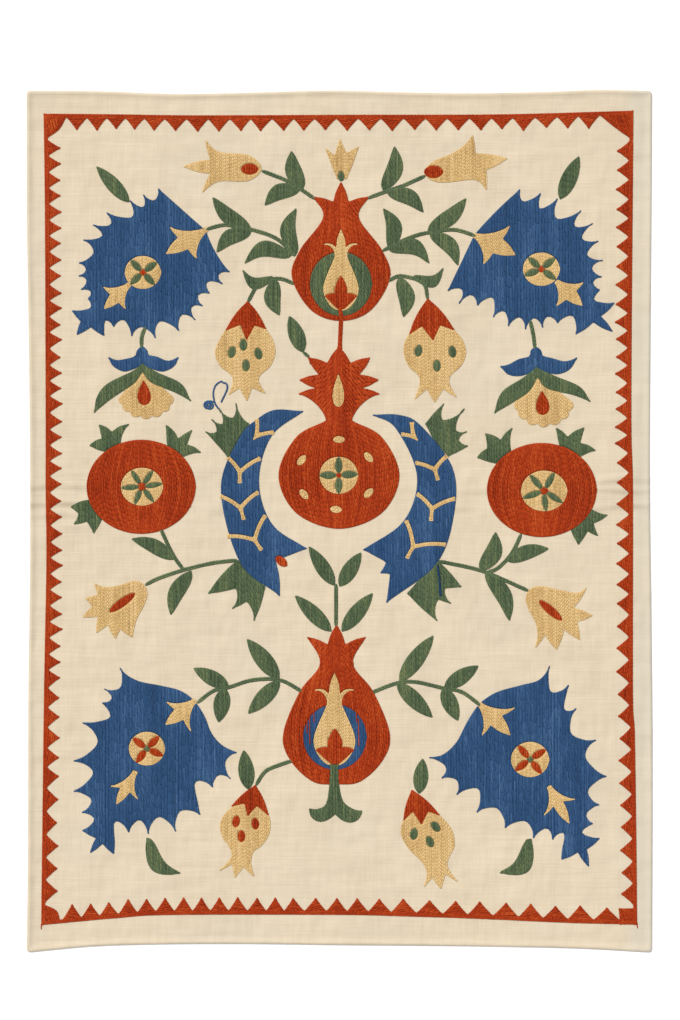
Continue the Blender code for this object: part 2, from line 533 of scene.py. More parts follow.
def within(points, shapes):
    """Which points lie inside any of the closed shapes."""
    x, y = np.asarray(points).T
    found = np.zeros(len(x), bool)
    for shape in shapes:
        inside = np.zeros(len(x), bool)
        for (from_x, from_y), (to_x, to_y) in zip(shape, np.roll(shape, -1, 0)):
            if from_y != to_y:
                met = (from_y > y) != (to_y > y)
                inside ^= met & (x < (to_x - from_x) * (y - from_y) / (to_y - from_y) + from_x)
        found |= inside
    return found


def crossings(shapes, row):
    """Where a row meets closed shapes, as stretches sorted from low to high."""
    found = []
    for shape in shapes:
        after = np.roll(shape, -1, 0)
        met = (shape[:, 0] <= row) != (after[:, 0] <= row)
        a, b = shape[met], after[met]
        cuts = np.sort(a[:, 1] + (row - a[:, 0]) * (b[:, 1] - a[:, 1]) / (b[:, 0] - a[:, 0]))
        found.extend(zip(cuts[::2], cuts[1::2]))
    return sorted(found)


def row_spans(shapes, holes, row):
    """The stretches of a row that lie in any of the shapes and in none of the holes."""
    spans = []
    for low, high in crossings(shapes, row):
        if spans and low <= spans[-1][1]:
            spans[-1][1] = max(spans[-1][1], high)
        else:
            spans.append([low, high])
    for low, high in crossings(holes, row):
        left = []
        for start, end in spans:
            parts = ([start, min(end, low)], [max(start, high), end])
            left.extend(part for part in parts if part[0] < part[1])
        spans = left
    return spans


def shared(first, second):
    """The stretches that two lists of stretches have in common."""
    pairs = [(max(a, c), min(b, d)) for a, b in first for c, d in second]
    return [pair for pair in pairs if pair[0] < pair[1]]


DYE_WAVES = (
    # radians a metre in x, in y, start
    (61, 17, 1.3),
    (-41, 33, 0.4),
    (140, 9, 2.1),
)
DYE_SWELL = 0.12


def dye_swell(points):
    """A slow change of tone over the cloth, as between lengths of dyed thread."""
    x, y = np.asarray(points).T
    waves = [np.sin(rate_x * x + rate_y * y + start) for rate_x, rate_y, start in DYE_WAVES]
    return DYE_SWELL * sum(waves) / len(waves)


# A row keeps off the edge stitches, wanders from its place by a share of the pitch, and is
# broken into stitches whose first lengths and lengths vary between two shares of the full one.
ROW_WANDER = 0.12
ROW_SIDES = 0.42
EDGE_ROOM = 0.55 * OUTLINE_WIDTH
SHORTEST_ROW = 0.0010
FIRST_LENGTHS = (0.35, 1.0)
LENGTHS = (0.8, 1.2)
LAST_LENGTH = 0.3
END_OVERLAP = 0.22
SIDE_OVERLAP = 1.16
STRAND_SPACE = 0.46
HEIGHTS = (0.88, 1.1)
SIDE_SLIP = 0.00005
TURN_SLIP = 0.02
STREAK_WAVES = (50, 110)


def bowed(points, bow, sign):
    """Points moved from straight rows to bowed ones, or back where the sign is below nothing.
    A bow is its middle, its half height, and how much narrower it is at both ends."""
    if bow is None:
        return points
    middle_x, middle_y, half, amount = bow
    narrow = 1 - amount * np.clip((points[:, 1] - middle_y) / half, -1, 1) ** 2
    x = middle_x + (points[:, 0] - middle_x) * narrow**sign
    return np.column_stack([x, points[:, 1:]])


def stitch_ends(thread, start, end):
    """Places along a row where one stitch ends and the next begins."""
    stops = [start]
    reach = start + thread.stitch * chance.uniform(*FIRST_LENGTHS)
    while reach < end - thread.stitch * LAST_LENGTH:
        stops.append(reach)
        reach += thread.stitch * chance.uniform(*LENGTHS)
    return [*stops, end]


def strands(thread, row, pitch, start, end, tone):
    """One stitch of a row, or a slanted pair for chain stitch."""
    found = []
    for strand in range(thread.strands):
        side = strand - (thread.strands - 1) / 2
        slant = thread.tilt * (side * 2 if thread.strands > 1 else 1)
        found.append(
            (
                row + side * pitch * STRAND_SPACE + chance.normal(0, SIDE_SLIP),
                (start + end) / 2,
                slant + chance.normal(0, TURN_SLIP),
                end - start + thread.stitch * END_OVERLAP,
                pitch * SIDE_OVERLAP / thread.strands,
                thread.height * chance.uniform(*HEIGHTS),
                tone,
            )
        )
    return found


def row_stitches(thread, shapes, holes, lean, bow):
    """Rows that fill the shapes: x, y, angle, length, width, height and tone of each stitch."""
    flat_shapes = [turned(bowed(shape, bow, -1), -lean) for shape in shapes]
    flat_holes = [turned(bowed(hole, bow, -1), -lean) for hole in holes]
    low = min(shape[:, 0].min() for shape in flat_shapes)
    high = max(shape[:, 0].max() for shape in flat_shapes)
    count = max(1, round((high - low) / thread.pitch))
    pitch = (high - low) / count
    found = []
    for number in range(count):
        row = low + pitch * (number + 0.5 + chance.uniform(-ROW_WANDER, ROW_WANDER))
        row_tone = chance.normal(0, thread.uneven)
        phase, wave = chance.uniform(0, 6.3), chance.uniform(*STREAK_WAVES)
        spans = row_spans(flat_shapes, flat_holes, row)
        for flank in (row - pitch * ROW_SIDES, row + pitch * ROW_SIDES):
            spans = shared(spans, row_spans(flat_shapes, flat_holes, flank))
        for low_end, high_end in spans:
            start, end = low_end + EDGE_ROOM, high_end - EDGE_ROOM
            if end - start < SHORTEST_ROW:
                continue
            stops = stitch_ends(thread, start, end)
            for a, b in zip(stops, stops[1:]):
                tone = row_tone + chance.normal(0, thread.uneven)
                tone += thread.streak * math.sin((a + b) / 2 * wave + phase)
                found += strands(thread, row, pitch, a, b, tone)
    found = np.array(found).reshape(-1, 7)
    found[:, :2] = turned(found[:, :2], lean)
    found[:, 2] += lean
    if bow is not None:
        middle_x, middle_y, half, amount = bow
        off = found[:, 1] - middle_y
        found[:, 2] += np.arctan((found[:, 0] - middle_x) * 2 * amount * off / half**2)
        found = bowed(found, bow, 1)
    found[:, 6] += dye_swell(found[:, :2])
    return found


# Edge stitches lie askew by a slant, overlap by a share of their length, and stand inwards
# of the edge by a share of their width.
EDGE_SLANT = 0.05
EDGE_OVERLAP = 0.27
EDGE_WIDTHS = (0.95, 1.1)
EDGE_HEIGHTS = (0.75, 0.9)
EDGE_INSET = 0.42
EDGE_TONE = -0.03


def stitches_along(path, thread, offset, width, tone):
    """Stitches end to end along a path, beside it by an offset to its left."""
    gaps = np.hypot(*np.diff(path, axis=0).T)
    reach = np.concatenate([[0], np.cumsum(gaps)])
    stops = np.linspace(0, reach[-1], max(1, round(reach[-1] / OUTLINE_STITCH)) + 1)
    marks = np.stack([np.interp(stops, reach, axis) for axis in path.T], 1)
    slope = np.gradient(marks, axis=0)
    slope /= np.maximum(np.hypot(*slope.T), 1e-9)[:, None]
    near_end = np.clip(np.minimum(stops, reach[-1] - stops) / TAPER, 0, 1)
    marks += np.stack([-slope[:, 1], slope[:, 0]], 1) * (offset * near_end)[:, None]
    way = np.diff(marks, axis=0)
    length = np.maximum(np.hypot(*way.T), 1e-6)
    middle = (marks[1:] + marks[:-1]) / 2
    count = len(middle)
    found = np.column_stack(
        [
            middle,
            np.arctan2(way[:, 1], way[:, 0]) - math.pi / 2 + EDGE_SLANT,
            length + OUTLINE_STITCH * EDGE_OVERLAP,
            width * chance.uniform(*EDGE_WIDTHS, count),
            thread.height * chance.uniform(*EDGE_HEIGHTS, count),
            chance.normal(tone, thread.uneven, count),
        ]
    )
    found[:, 6] += dye_swell(middle)
    return found[length > SHORTEST_STITCH]


def edge_stitches(thread, shapes, holes):
    """Short stitches end to end just inside each shape's edge, from corner to corner."""
    found = []
    for number, shape in enumerate(shapes):
        others = [*shapes[:number], *shapes[number + 1 :], *holes]
        inward = OUTLINE_WIDTH * (EDGE_INSET if signed_area(shape) > 0 else -EDGE_INSET)
        steps = np.roll(shape, -1, 0) - shape
        heading = np.arctan2(steps[:, 1], steps[:, 0])
        turn = (heading - np.roll(heading, 1) + math.pi) % (2 * math.pi) - math.pi
        corners = np.flatnonzero(abs(turn) > SHARP_TURN)
        if len(corners) == 0:
            corners = np.array([0])
        for first, last in zip(corners, [*corners[1:], corners[0] + len(shape)]):
            run = shape[np.arange(first, last + 1) % len(shape)]
            stitches = stitches_along(run, thread, inward, OUTLINE_WIDTH, EDGE_TONE)
            if others:
                stitches = stitches[~within(stitches[:, :2], others)]
            found.append(stitches)
    return np.vstack(found)


# How far above the cloth's face stitches start, and those that are sewn over other work
LIFT = 0.0002
ON_TOP = 0.0008


def laid_stitches(stitches, lift=LIFT):
    """Every stitch as a copy of the model stitch: points, face corners, face sizes, tones."""
    x, y, angle, length, width, height, tone = stitches.T[:, :, None]
    local_x = STITCH_POINTS[:, 0] * width
    local_y = STITCH_POINTS[:, 1] * length
    c, s = np.cos(angle), np.sin(angle)
    points = np.stack(
        [
            local_x * c - local_y * s + x,
            local_x * s + local_y * c + y,
            STITCH_POINTS[:, 2] * height + lift,
        ],
        2,
    )
    starts = np.arange(len(stitches))[:, None] * len(STITCH_POINTS)
    corners = (starts + np.concatenate(STITCH_FACES)).ravel()
    totals = np.tile([len(face) for face in STITCH_FACES], len(stitches))
    tones = np.repeat(tone.ravel(), len(STITCH_POINTS))
    return points.reshape(-1, 3), corners, totals, tones


def underlay(shapes, holes):
    """A thin closed layer under the rows, toned dark as painted shade: points, corners, sizes,
    tones.
    """
    loops = [*shapes, *holes]
    spots = np.vstack(loops)
    edges = []
    first = 0
    for loop in loops:
        numbers = np.arange(first, first + len(loop))
        edges.extend(zip(numbers.tolist(), np.roll(numbers, -1).tolist()))
        first += len(loop)
    low, high = spots.min(0), spots.max(0)
    fills = [np.arange(a, b, UNDERLAY_SPACE) for a, b in zip(low, high)]
    inner = np.stack(np.meshgrid(*fills), -1).reshape(-1, 2)
    inner = inner[within(inner, shapes)]
    places = [Vector(spot) for spot in np.vstack([spots, inner])]
    found, _, triangles, *_ = geometry.delaunay_2d_cdt(places, edges, [], 0, 1e-6)
    found = np.array(found)
    triangles = np.array([face for face in triangles if len(face) == 3])
    middles = found[triangles].mean(1)
    triangles = triangles[within(middles, shapes) & ~within(middles, holes)]
    used, numbers = np.unique(triangles, return_inverse=True)
    found, triangles = found[used], numbers.reshape(-1, 3)
    count = len(found)
    sides = np.concatenate([triangles[:, [0, 1]], triangles[:, [1, 2]], triangles[:, [2, 0]]])
    met = set(map(tuple, sides.tolist()))
    walls = [(b, a, a + count, b + count) for a, b in sides.tolist() if (b, a) not in met]
    points = np.vstack(
        [
            np.column_stack([found, np.full(count, UNDERLAY_HIGH)]),
            np.column_stack([found, np.full(count, UNDERLAY_LOW)]),
        ]
    )
    faces = [*triangles.tolist(), *(triangles[:, ::-1] + count).tolist(), *walls]
    totals = np.array([len(face) for face in faces])
    # The underlay's darker tone is painted shade for the gaps between the stitches.
    return points, np.concatenate(faces), totals, np.full(len(points), UNDERLAY_SHADE_TONE)


def filled(thread, shapes, holes=(), lean=0.0, bow=None):
    """A filled area of an embroidered piece: its underlay, its rows and its edges."""
    rows = row_stitches(thread, shapes, holes, lean, bow)
    edges = edge_stitches(thread, shapes, holes)
    return [underlay(shapes, holes), laid_stitches(np.vstack([rows, edges]))]


def line(thread, path, width, lines, tone=0.0, lift=LIFT):
    """Stitches in lines side by side along an open path, for stems and single threads."""
    path = np.asarray(path)
    sides = (np.arange(lines) - (lines - 1) / 2) * width / lines
    found = [stitches_along(path, thread, side, width / lines * 1.2, tone) for side in sides]
    return [laid_stitches(np.vstack(found), lift)]


def sew(name, thread, parts):
    """Make one embroidered piece of its filled areas and lines, lying on the cloth's face."""
    starts = np.cumsum([0, *(len(part[0]) for part in parts)])
    points = np.vstack([part[0] for part in parts])
    rises, _ = crease_marks(points[:, 0], points[:, 1])
    points[:, 2] += rises + CLOTH_THICKNESS
    corners = np.concatenate([part[1] + start for part, start in zip(parts, starts)])
    totals = np.concatenate([part[2] for part in parts])
    mesh = bpy.data.meshes.new(name)
    mesh.vertices.add(len(points))
    mesh.vertices.foreach_set("co", points.ravel())
    mesh.loops.add(len(corners))
    mesh.loops.foreach_set("vertex_index", corners.astype(np.int32))
    mesh.polygons.add(len(totals))
    loop_starts = np.concatenate([[0], np.cumsum(totals)[:-1]])
    mesh.polygons.foreach_set("loop_start", loop_starts.astype(np.int32))
    mesh.update(calc_edges=True)
    tone = mesh.attributes.new("tone", "FLOAT", "POINT")
    tone.data.foreach_set("value", np.concatenate([part[3] for part in parts]).astype(np.float32))
    mesh.materials.append(thread.material)
    mesh.shade_smooth()
    piece = bpy.data.objects.new(name, mesh)
    bpy.context.scene.collection.objects.link(piece)
    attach(piece, "root")


def sew_filled(name, thread, shapes, holes=()):
    """Make one embroidered piece that is a single filled area."""
    sew(name, thread, filled(thread, shapes, holes))


RED = Thread(
    "red_thread",
    ((0.215, 0.018, 0.003, 1.0), (0.385, 0.040, 0.006, 1.0), (0.560, 0.095, 0.018, 1.0)),
    pitch=0.0026,
    stitch=0.0075,
    height=0.0010,
    tilt=0.10,
    strands=1,
    uneven=0.085,
    streak=0.05,
)
BAND_WIDTH = 0.0055
BAND_LINES = 3
TOOTH_WOBBLE = 0.0009
TOOTH_LEAN = 0.25
TOOTH_OVERLAP = 0.0006
BORDER_SIDES = {
    "border_top": {
        "inward": (0, -1),
        "tooth_height": 0.0175,
        "outer_line": (
            (44, 114), (118, 114.6), (195, 115.6), (340, 115.1), (500, 114.6), (633, 111),
        ),
        # tooth number, photo_x of its tip
        "teeth": (
            (0, 76.9), (4, 154.3), (8, 240.4), (12, 324.9), (16, 414.2), (20, 502.3), (24, 589.8),
        ),
    },
    "border_bottom": {
        "inward": (0, 1),
        "tooth_height": 0.0200,
        "outer_line": (
            (42, 924.7), (115, 918), (172, 914.6), (340, 914.6), (409, 916.2), (478, 918.5),
            (570, 922.6), (636, 924.2),
        ),
        # tooth number, photo_x of its tip
        "teeth": (
            (0, 71.9), (4, 147.4), (8, 218.8), (12, 294.3), (16, 379.5), (20, 480), (25, 606.3),
        ),
    },
    "border_left": {
        "inward": (1, 0),
        "tooth_height": 0.0182,
        "outer_line": (
            (43.9, 114), (45.2, 220), (45.9, 420), (45.9, 490), (46.6, 560), (44.3, 690),
            (42.9, 800), (41.4, 924.6),
        ),
        # tooth number, photo_y of its tip
        "teeth": ((0, 147.7), (33, 678.2), (38, 776.8), (43, 890.9)),
    },
    "border_right": {
        "inward": (-1, 0),
        "tooth_height": 0.0185,
        "outer_line": (
            (633.2, 111), (631.1, 404), (632.7, 490), (632.7, 690), (634.6, 735), (636.2, 850),
            (636.9, 924),
        ),
        # tooth number, photo_y of its tip
        "teeth": ((0, 150.7), (8, 304.5), (16, 443.6), (24, 604), (32, 783), (37, 894.4)),
    },
}


def beside(outer, main, inward, along, depth):
    """A point inside a side of the border, by its place along it and its depth inwards."""
    order = np.argsort(outer[:, main])
    spot = np.empty(2)
    spot[main] = along
    spot[1 - main] = np.interp(along, outer[order, main], outer[order, 1 - main])
    return spot + inward * depth


for side_name, side in BORDER_SIDES.items():
    inward = np.array(side["inward"], float)
    main = 0 if inward[0] == 0 else 1
    outer = bent(placed(side["outer_line"]))
    numbers, tips = np.array(side["teeth"]).T
    tips = np.interp(np.arange(numbers[-1] + 1), numbers, tips)
    tips = np.array([place(tip, tip)[main] for tip in tips])
    tips += chance.normal(0, TOOTH_WOBBLE, len(tips))
    ends = np.array([1.5 * tips[0] - 0.5 * tips[1], 1.5 * tips[-1] - 0.5 * tips[-2]])
    valleys = np.concatenate([ends[:1], (tips[1:] + tips[:-1]) / 2, ends[1:]])
    band = np.vstack([outer, outer[::-1] + inward * BAND_WIDTH])
    side_lean = 0.0 if main == 1 else math.pi / 2
    parts = [underlay([band], [])]
    parts += line(RED, outer + inward * BAND_WIDTH / 2, BAND_WIDTH, BAND_LINES)
    for number, tip in enumerate(tips):
        height = side["tooth_height"] + chance.normal(0, TOOTH_WOBBLE)
        foot = BAND_WIDTH - TOOTH_OVERLAP
        spots = ((valleys[number], foot), (tip, BAND_WIDTH + height), (valleys[number + 1], foot))
        tooth = np.vstack([beside(outer, main, inward, *spot) for spot in spots])
        parts += filled(RED, [tooth], lean=side_lean + chance.uniform(-TOOTH_LEAN, TOOTH_LEAN))
    sew(side_name, RED, parts)


# The border's corners: a solid block of red thread in slanted rows fills each. Three orange
# stitches are sewn over the top left one, and a tail of red thread hangs below both lower ones.
CORNER_BLOCKS = (
    # cut, amount, then photo pixels that share them
    (
        ("edge", 0, (44, 114)),
        ("edge", 0.04, (66, 117), (59.5, 129.5)),
        ("edge", 0, (47, 138)),
    ),
    (
        ("edge", 0, (600, 115), (633, 111)),
        ("edge", 0.02, (630, 138), (616.7, 129)),
    ),
    (
        ("edge", 0, (42, 924.7)),
        ("edge", 0.05, (44.5, 905), (57, 910.6)),
        ("edge", 0, (60, 921)),
    ),
    (
        ("edge", 0, (619, 908.5), (636.5, 908), (637, 924.5), (619.5, 924)),
    ),
)
BLOCK_LEAN = 0.35
ORANGE_TONE = 0.45
ORANGE_WIDTH = 0.0020
TAIL_WIDTH = 0.0013
ORANGE_STITCHES = (((51, 121), (53, 130)), ((53.5, 119.5), (55.5, 129)), ((56, 119), (58, 127)))
THREAD_TAILS = (((41.5, 924), (41.3, 929)), ((637, 924), (637.3, 928)))
block_parts = []
for block in CORNER_BLOCKS:
    block_parts += filled(RED, [rim(on_photo(block))], lean=BLOCK_LEAN)
for stitch in ORANGE_STITCHES:
    block_parts += line(RED, placed(stitch), ORANGE_WIDTH, 1, ORANGE_TONE, ON_TOP)
for tail in THREAD_TAILS:
    block_parts += line(RED, placed(tail), TAIL_WIDTH, 1)
sew("border_corners", RED, block_parts)


# The pomegranate at the top of the middle line: a red fruit in upright rows, sewn round a green
# disc, a gold tulip and a small red sprout. A red stem joins it to the crown of the fruit below.
GREEN = Thread(
    "green_thread",
    ((0.042, 0.066, 0.034, 1.0), (0.093, 0.134, 0.067, 1.0), (0.190, 0.220, 0.095, 1.0)),
    pitch=0.0022,
    stitch=0.0090,
    height=0.0010,
    tilt=0.08,
    strands=1,
    uneven=0.07,
    streak=0.10,
)
GOLD = Thread(
    "gold_thread",
    ((0.420, 0.250, 0.090, 1.0), (0.700, 0.470, 0.200, 1.0), (0.850, 0.630, 0.330, 1.0)),
    pitch=0.0030,
    stitch=0.0050,
    height=0.0007,
    tilt=0.22,
    strands=2,
    uneven=0.06,
    streak=0.03,
)


def mirrored(foot, half, width=1.0, height=1.0):
    """A shape that is the same left and right, from the right half of its profile."""
    rows = [(*spot, cut, amount) for cut, amount, *spots in half for spot in spots]
    right = [(out * width, up * height, cut, amount) for out, up, cut, amount in rows[:-1]]
    left = [
        (-row[0] * width, row[1] * height, *before[2:])
        for row, before in zip(rows[:0:-1], rows[-2::-1])
    ]
    return rim(right + left) + foot


def oval(centre, half_long, half_wide, angle=0.0, points=40):
    """An ellipse round a place on the cloth."""
    t = np.linspace(0, 2 * math.pi, points, endpoint=False)
    ring = np.column_stack([half_long * np.cos(t), half_wide * np.sin(t)])
    return centre + turned(ring, angle)


def ribbon(path, width):
    """A strip of one width along a path, with its turns mitred."""
    path = np.asarray(path)
    ways = np.diff(path, axis=0)
    ways /= np.hypot(*ways.T)[:, None]
    lines = np.vstack([ways[:1], ways[1:] + ways[:-1], ways[-1:]])
    lines /= np.hypot(*lines.T)[:, None]
    reach = width / 2 / (lines[1:] * ways).sum(1)
    reach = np.concatenate([[width / 2], reach])[:, None]
    side = np.column_stack([-lines[:, 1], lines[:, 0]]) * reach
    return np.vstack([path - side, (path + side)[::-1]])


FRUIT_BOW = 0.30
TOP_BELLY_RISE = 0.066
TOP_BOW_HALF = 0.085
TOP_DISC_SIZE = (0.047, 0.0486)
TOP_TULIP_SCALE = (0.85, 0.875)
TOP_SPROUT_SCALE = (0.84, 0.93)
TOP_STEM_WIDTH = 0.0062
TOP_FRUIT = (
    # cut, amount, then places that share them: out from the middle, up from the foot
    ("flow", 0, (0, 0), (0.045, 0.016), (0.0745, 0.066), (0.062, 0.108), (0.027, 0.157)),
    ("notch", 0.45, (0.042, 0.188)),
    ("tip", 0, (0, 0.210)),
)
TULIP_IN_FRUIT = (
    ("flow", 0, (0, 0), (0.020, 0.010), (0.0315, 0.041)),
    ("edge", -0.24, (0.0116, 0.093)),
    ("edge", 0.22, (0.0295, 0.1155)),
    ("edge", 0.08, (0.0080, 0.1075)),
    ("tip", 0, (0, 0.1406)),
)
SPROUT_IN_FRUIT = (
    ("edge", 0, (0, 0)),
    ("edge", 0.02, (0.0040, 0.002)),
    ("edge", 0.12, (0.0288, 0.0242)),
    ("flow", 0, (0.0095, 0.0280), (0.0112, 0.0373)),
    ("tip", 0, (0, 0.056)),
)
top_foot = place(341, 321)
top_fruit = mirrored(top_foot, TOP_FRUIT)
top_disc = oval(place(341, 284), *TOP_DISC_SIZE)
top_tulip = mirrored(place(341, 311), TULIP_IN_FRUIT, *TOP_TULIP_SCALE)
top_sprout = mirrored(place(341, 311), SPROUT_IN_FRUIT, *TOP_SPROUT_SCALE)
top_stem = ribbon(placed(((340.6, 308), (341, 321), (339.7, 349))), TOP_STEM_WIDTH)
top_bow = (*(top_foot + (0, TOP_BELLY_RISE)), TOP_BOW_HALF, FRUIT_BOW)
sew(
    "top_fruit_red",
    RED,
    filled(RED, [top_fruit], [top_disc, top_tulip, top_stem], bow=top_bow)
    + filled(RED, [top_sprout, top_stem]),
)
sew_filled("top_fruit_green", GREEN, [top_disc], [top_tulip, top_sprout, top_stem])
sew_filled("top_fruit_gold", GOLD, [top_tulip], [top_sprout, top_stem])


# The lower pomegranate: a larger fruit of the same kind, sewn round a blue disc with a few stray
# red stitches over it, and standing on a green foot that splits into two curled leaves.
BLUE = Thread(
    "blue_thread",
    ((0.013, 0.038, 0.090, 1.0), (0.031, 0.083, 0.188, 1.0), (0.100, 0.195, 0.350, 1.0)),
    pitch=0.0023,
    stitch=0.0170,
    height=0.0008,
    tilt=0.03,
    strands=1,
    uneven=0.042,
    streak=0.05,
)
LOWER_BELLY_RISE = 0.076
LOWER_BOW_HALF = 0.090
LOWER_DISC_SIZE = (0.048, 0.0494)
STRAY_WIDTH = 0.0012
STRAY_SLANT = 0.5
LOWER_FRUIT = (
    ("flow", 0, (0, 0), (0.036, 0.004), (0.070, 0.036), (0.081, 0.076), (0.056, 0.140)),
    ("flow", 0, (0.025, 0.183)),
    ("notch", 0.48, (0.044, 0.223)),
    ("tip", 0, (0, 0.2417)),
)
FRUIT_FOOT = (
    # cut, amount, then photo pixels that share them
    ("edge", 0, (330.3, 764.6)),
    ("flow", 0, (338.3, 764.6), (338.9, 783), (342.9, 800.7), (352.3, 808.5)),
    ("edge", 0.25, (361.7, 811)),
    ("edge", 0.10, (347, 822), (335.2, 813.4)),
    ("edge", 0.25, (322, 821.5)),
    ("flow", 0, (309.5, 808.8), (318, 808.8), (326.2, 803.4), (329.5, 783)),
)
STRAY_STITCHES = (
    # photo_x, from photo_y, to photo_y
    (306.8, 716, 733),
    (309.4, 712, 744),
    (313.6, 705, 722),
    (356.2, 709, 722),
    (358.4, 718, 746),
)
lower_foot = place(336.5, 784)
lower_fruit = mirrored(lower_foot, LOWER_FRUIT)
lower_disc = oval(place(335, 737), *LOWER_DISC_SIZE)
lower_tulip = mirrored(place(334.5, 766), TULIP_IN_FRUIT)
lower_sprout = mirrored(place(335, 766), SPROUT_IN_FRUIT)
fruit_foot = rim(on_photo(FRUIT_FOOT))
lower_bow = (*(lower_foot + (0, LOWER_BELLY_RISE)), LOWER_BOW_HALF, FRUIT_BOW)
lower_red = filled(
    RED, [lower_fruit], [lower_disc, lower_tulip, fruit_foot], bow=lower_bow
) + filled(RED, [lower_sprout], [fruit_foot])
for photo_x, from_y, to_y in STRAY_STITCHES:
    stray = placed(((photo_x, from_y), (photo_x + STRAY_SLANT, to_y)))
    lower_red += line(RED, stray, STRAY_WIDTH, 1, lift=ON_TOP)
sew("lower_fruit_red", RED, lower_red)
sew_filled("lower_fruit_blue", BLUE, [lower_disc], [lower_tulip, lower_sprout, fruit_foot])
sew_filled("lower_fruit_gold", GOLD, [lower_tulip], [lower_sprout, fruit_foot])
sew_filled("lower_fruit_foot", GREEN, [fruit_foot])


# The middle pomegranate: a round red fruit under a seven-pointed crown. A gold drop, six gold
# seeds and a gold rosette with four green petals and a red heart are sewn into it.

# Shares and powers that set where a drop and a leaf are widest, and how far petals reach
DROP_PEAK = 0.77
LEAF_BEND_PLACE = 1.25
LEAF_BELLY_PLACE = 0.86
LEAF_FULLNESS = 0.68
PETAL_FROM = 0.12
PETAL_TO = 0.99


def drop(tip, foot, width):
    """A drop between photo pixels, pointed at its tip and round at its foot."""
    start, end = place(*tip), place(*foot)
    t = np.linspace(0, math.pi, 16)[:, None]
    way = end - start
    side = np.array([-way[1], way[0]]) / math.dist(start, end)
    spine = start + way * (1 - np.cos(t)) / 2
    half = width / 2 * np.sin(t) * np.sin(t / 2) / DROP_PEAK
    return np.vstack([spine - side * half, (spine + side * half)[-2:0:-1]])


def leaf(start, end, width, bend=0.0):
    """A pointed leaf from its base to its tip, bent to the left by a share of its length."""
    t = np.linspace(0, 1, 15)[:, None]
    way = end - start
    left = np.array([-way[1], way[0]])
    spine = start + way * t + left * bend * np.sin(np.pi * t**LEAF_BEND_PLACE)
    half = width / 2 * np.sin(np.pi * t**LEAF_BELLY_PLACE) ** LEAF_FULLNESS
    side = left / np.hypot(*left)
    return np.vstack([spine - side * half, (spine + side * half)[-2:0:-1]])


def rosette(centre, half_wide, half_high, petal_width, heart, angles):
    """Outlines of a rosette's disc, of its petals from heart to rim, and of its heart."""
    blades = []
    for angle in np.radians(angles):
        way = np.array([math.cos(angle) * half_wide, math.sin(angle) * half_high])
        blades.append(leaf(centre + way * PETAL_FROM, centre + way * PETAL_TO, petal_width))
    disc = oval(centre, half_wide, half_high)
    return disc, blades, oval(centre, heart, heart, points=16)


ROUND_BOW = 0.38
MIDDLE_BELLY_RISE = 0.081
MIDDLE_BOW_HALF = 0.085
CROWN_DROP_WIDTH = 0.018
MIDDLE_FRUIT = (
    ("flow", 0, (0, 0), (0.065, 0.024), (0.0918, 0.081), (0.065, 0.139)),
    ("edge", -0.12, (0.0188, 0.1645)),
    ("notch", 1.3, (0.061, 0.2047)),
    ("notch", 0.7, (0.0595, 0.226)),
    ("notch", 0.36, (0.0465, 0.2595)),
    ("tip", 0, (0, 0.276)),
)
SEED_LENGTH = 0.018
SEED_WIDTH = 0.0106
SEEDS = (
    # photo_x, photo_y, turn in degrees
    (339, 439.6, 0),
    (301.6, 460.4, 50),
    (368.6, 457.3, -50),
    (304, 494.3, -50),
    (368.6, 493.2, 45),
    (336, 509.5, -5),
)
middle_foot = place(339, 528.7)
middle_fruit = mirrored(middle_foot, MIDDLE_FRUIT)
crown_drop = drop((338.4, 374.6), (338.4, 407.2), CROWN_DROP_WIDTH)
seeds = [
    oval(place(x, y), SEED_LENGTH / 2, SEED_WIDTH / 2, math.radians(angle), 18)
    for x, y, angle in SEEDS
]
disc, petals, heart = rosette(
    place(338.8, 475.4), 0.0292, 0.0281, 0.0112, 0.0042, (4, 90, 180, 270)
)
middle_bow = (*(middle_foot + (0, MIDDLE_BELLY_RISE)), MIDDLE_BOW_HALF, ROUND_BOW)
sew(
    "middle_fruit_red",
    RED,
    filled(RED, [middle_fruit], [crown_drop, disc, *seeds], bow=middle_bow)
    + filled(RED, [heart]),
)
gold_parts = filled(GOLD, [disc], [*petals, heart]) + filled(GOLD, [crown_drop])
for seed, (_, _, angle) in zip(seeds, SEEDS):
    gold_parts += filled(GOLD, [seed], lean=math.radians(angle + 90))
sew("middle_fruit_gold", GOLD, gold_parts)
sew_filled("middle_fruit_petals", GREEN, petals, [heart])


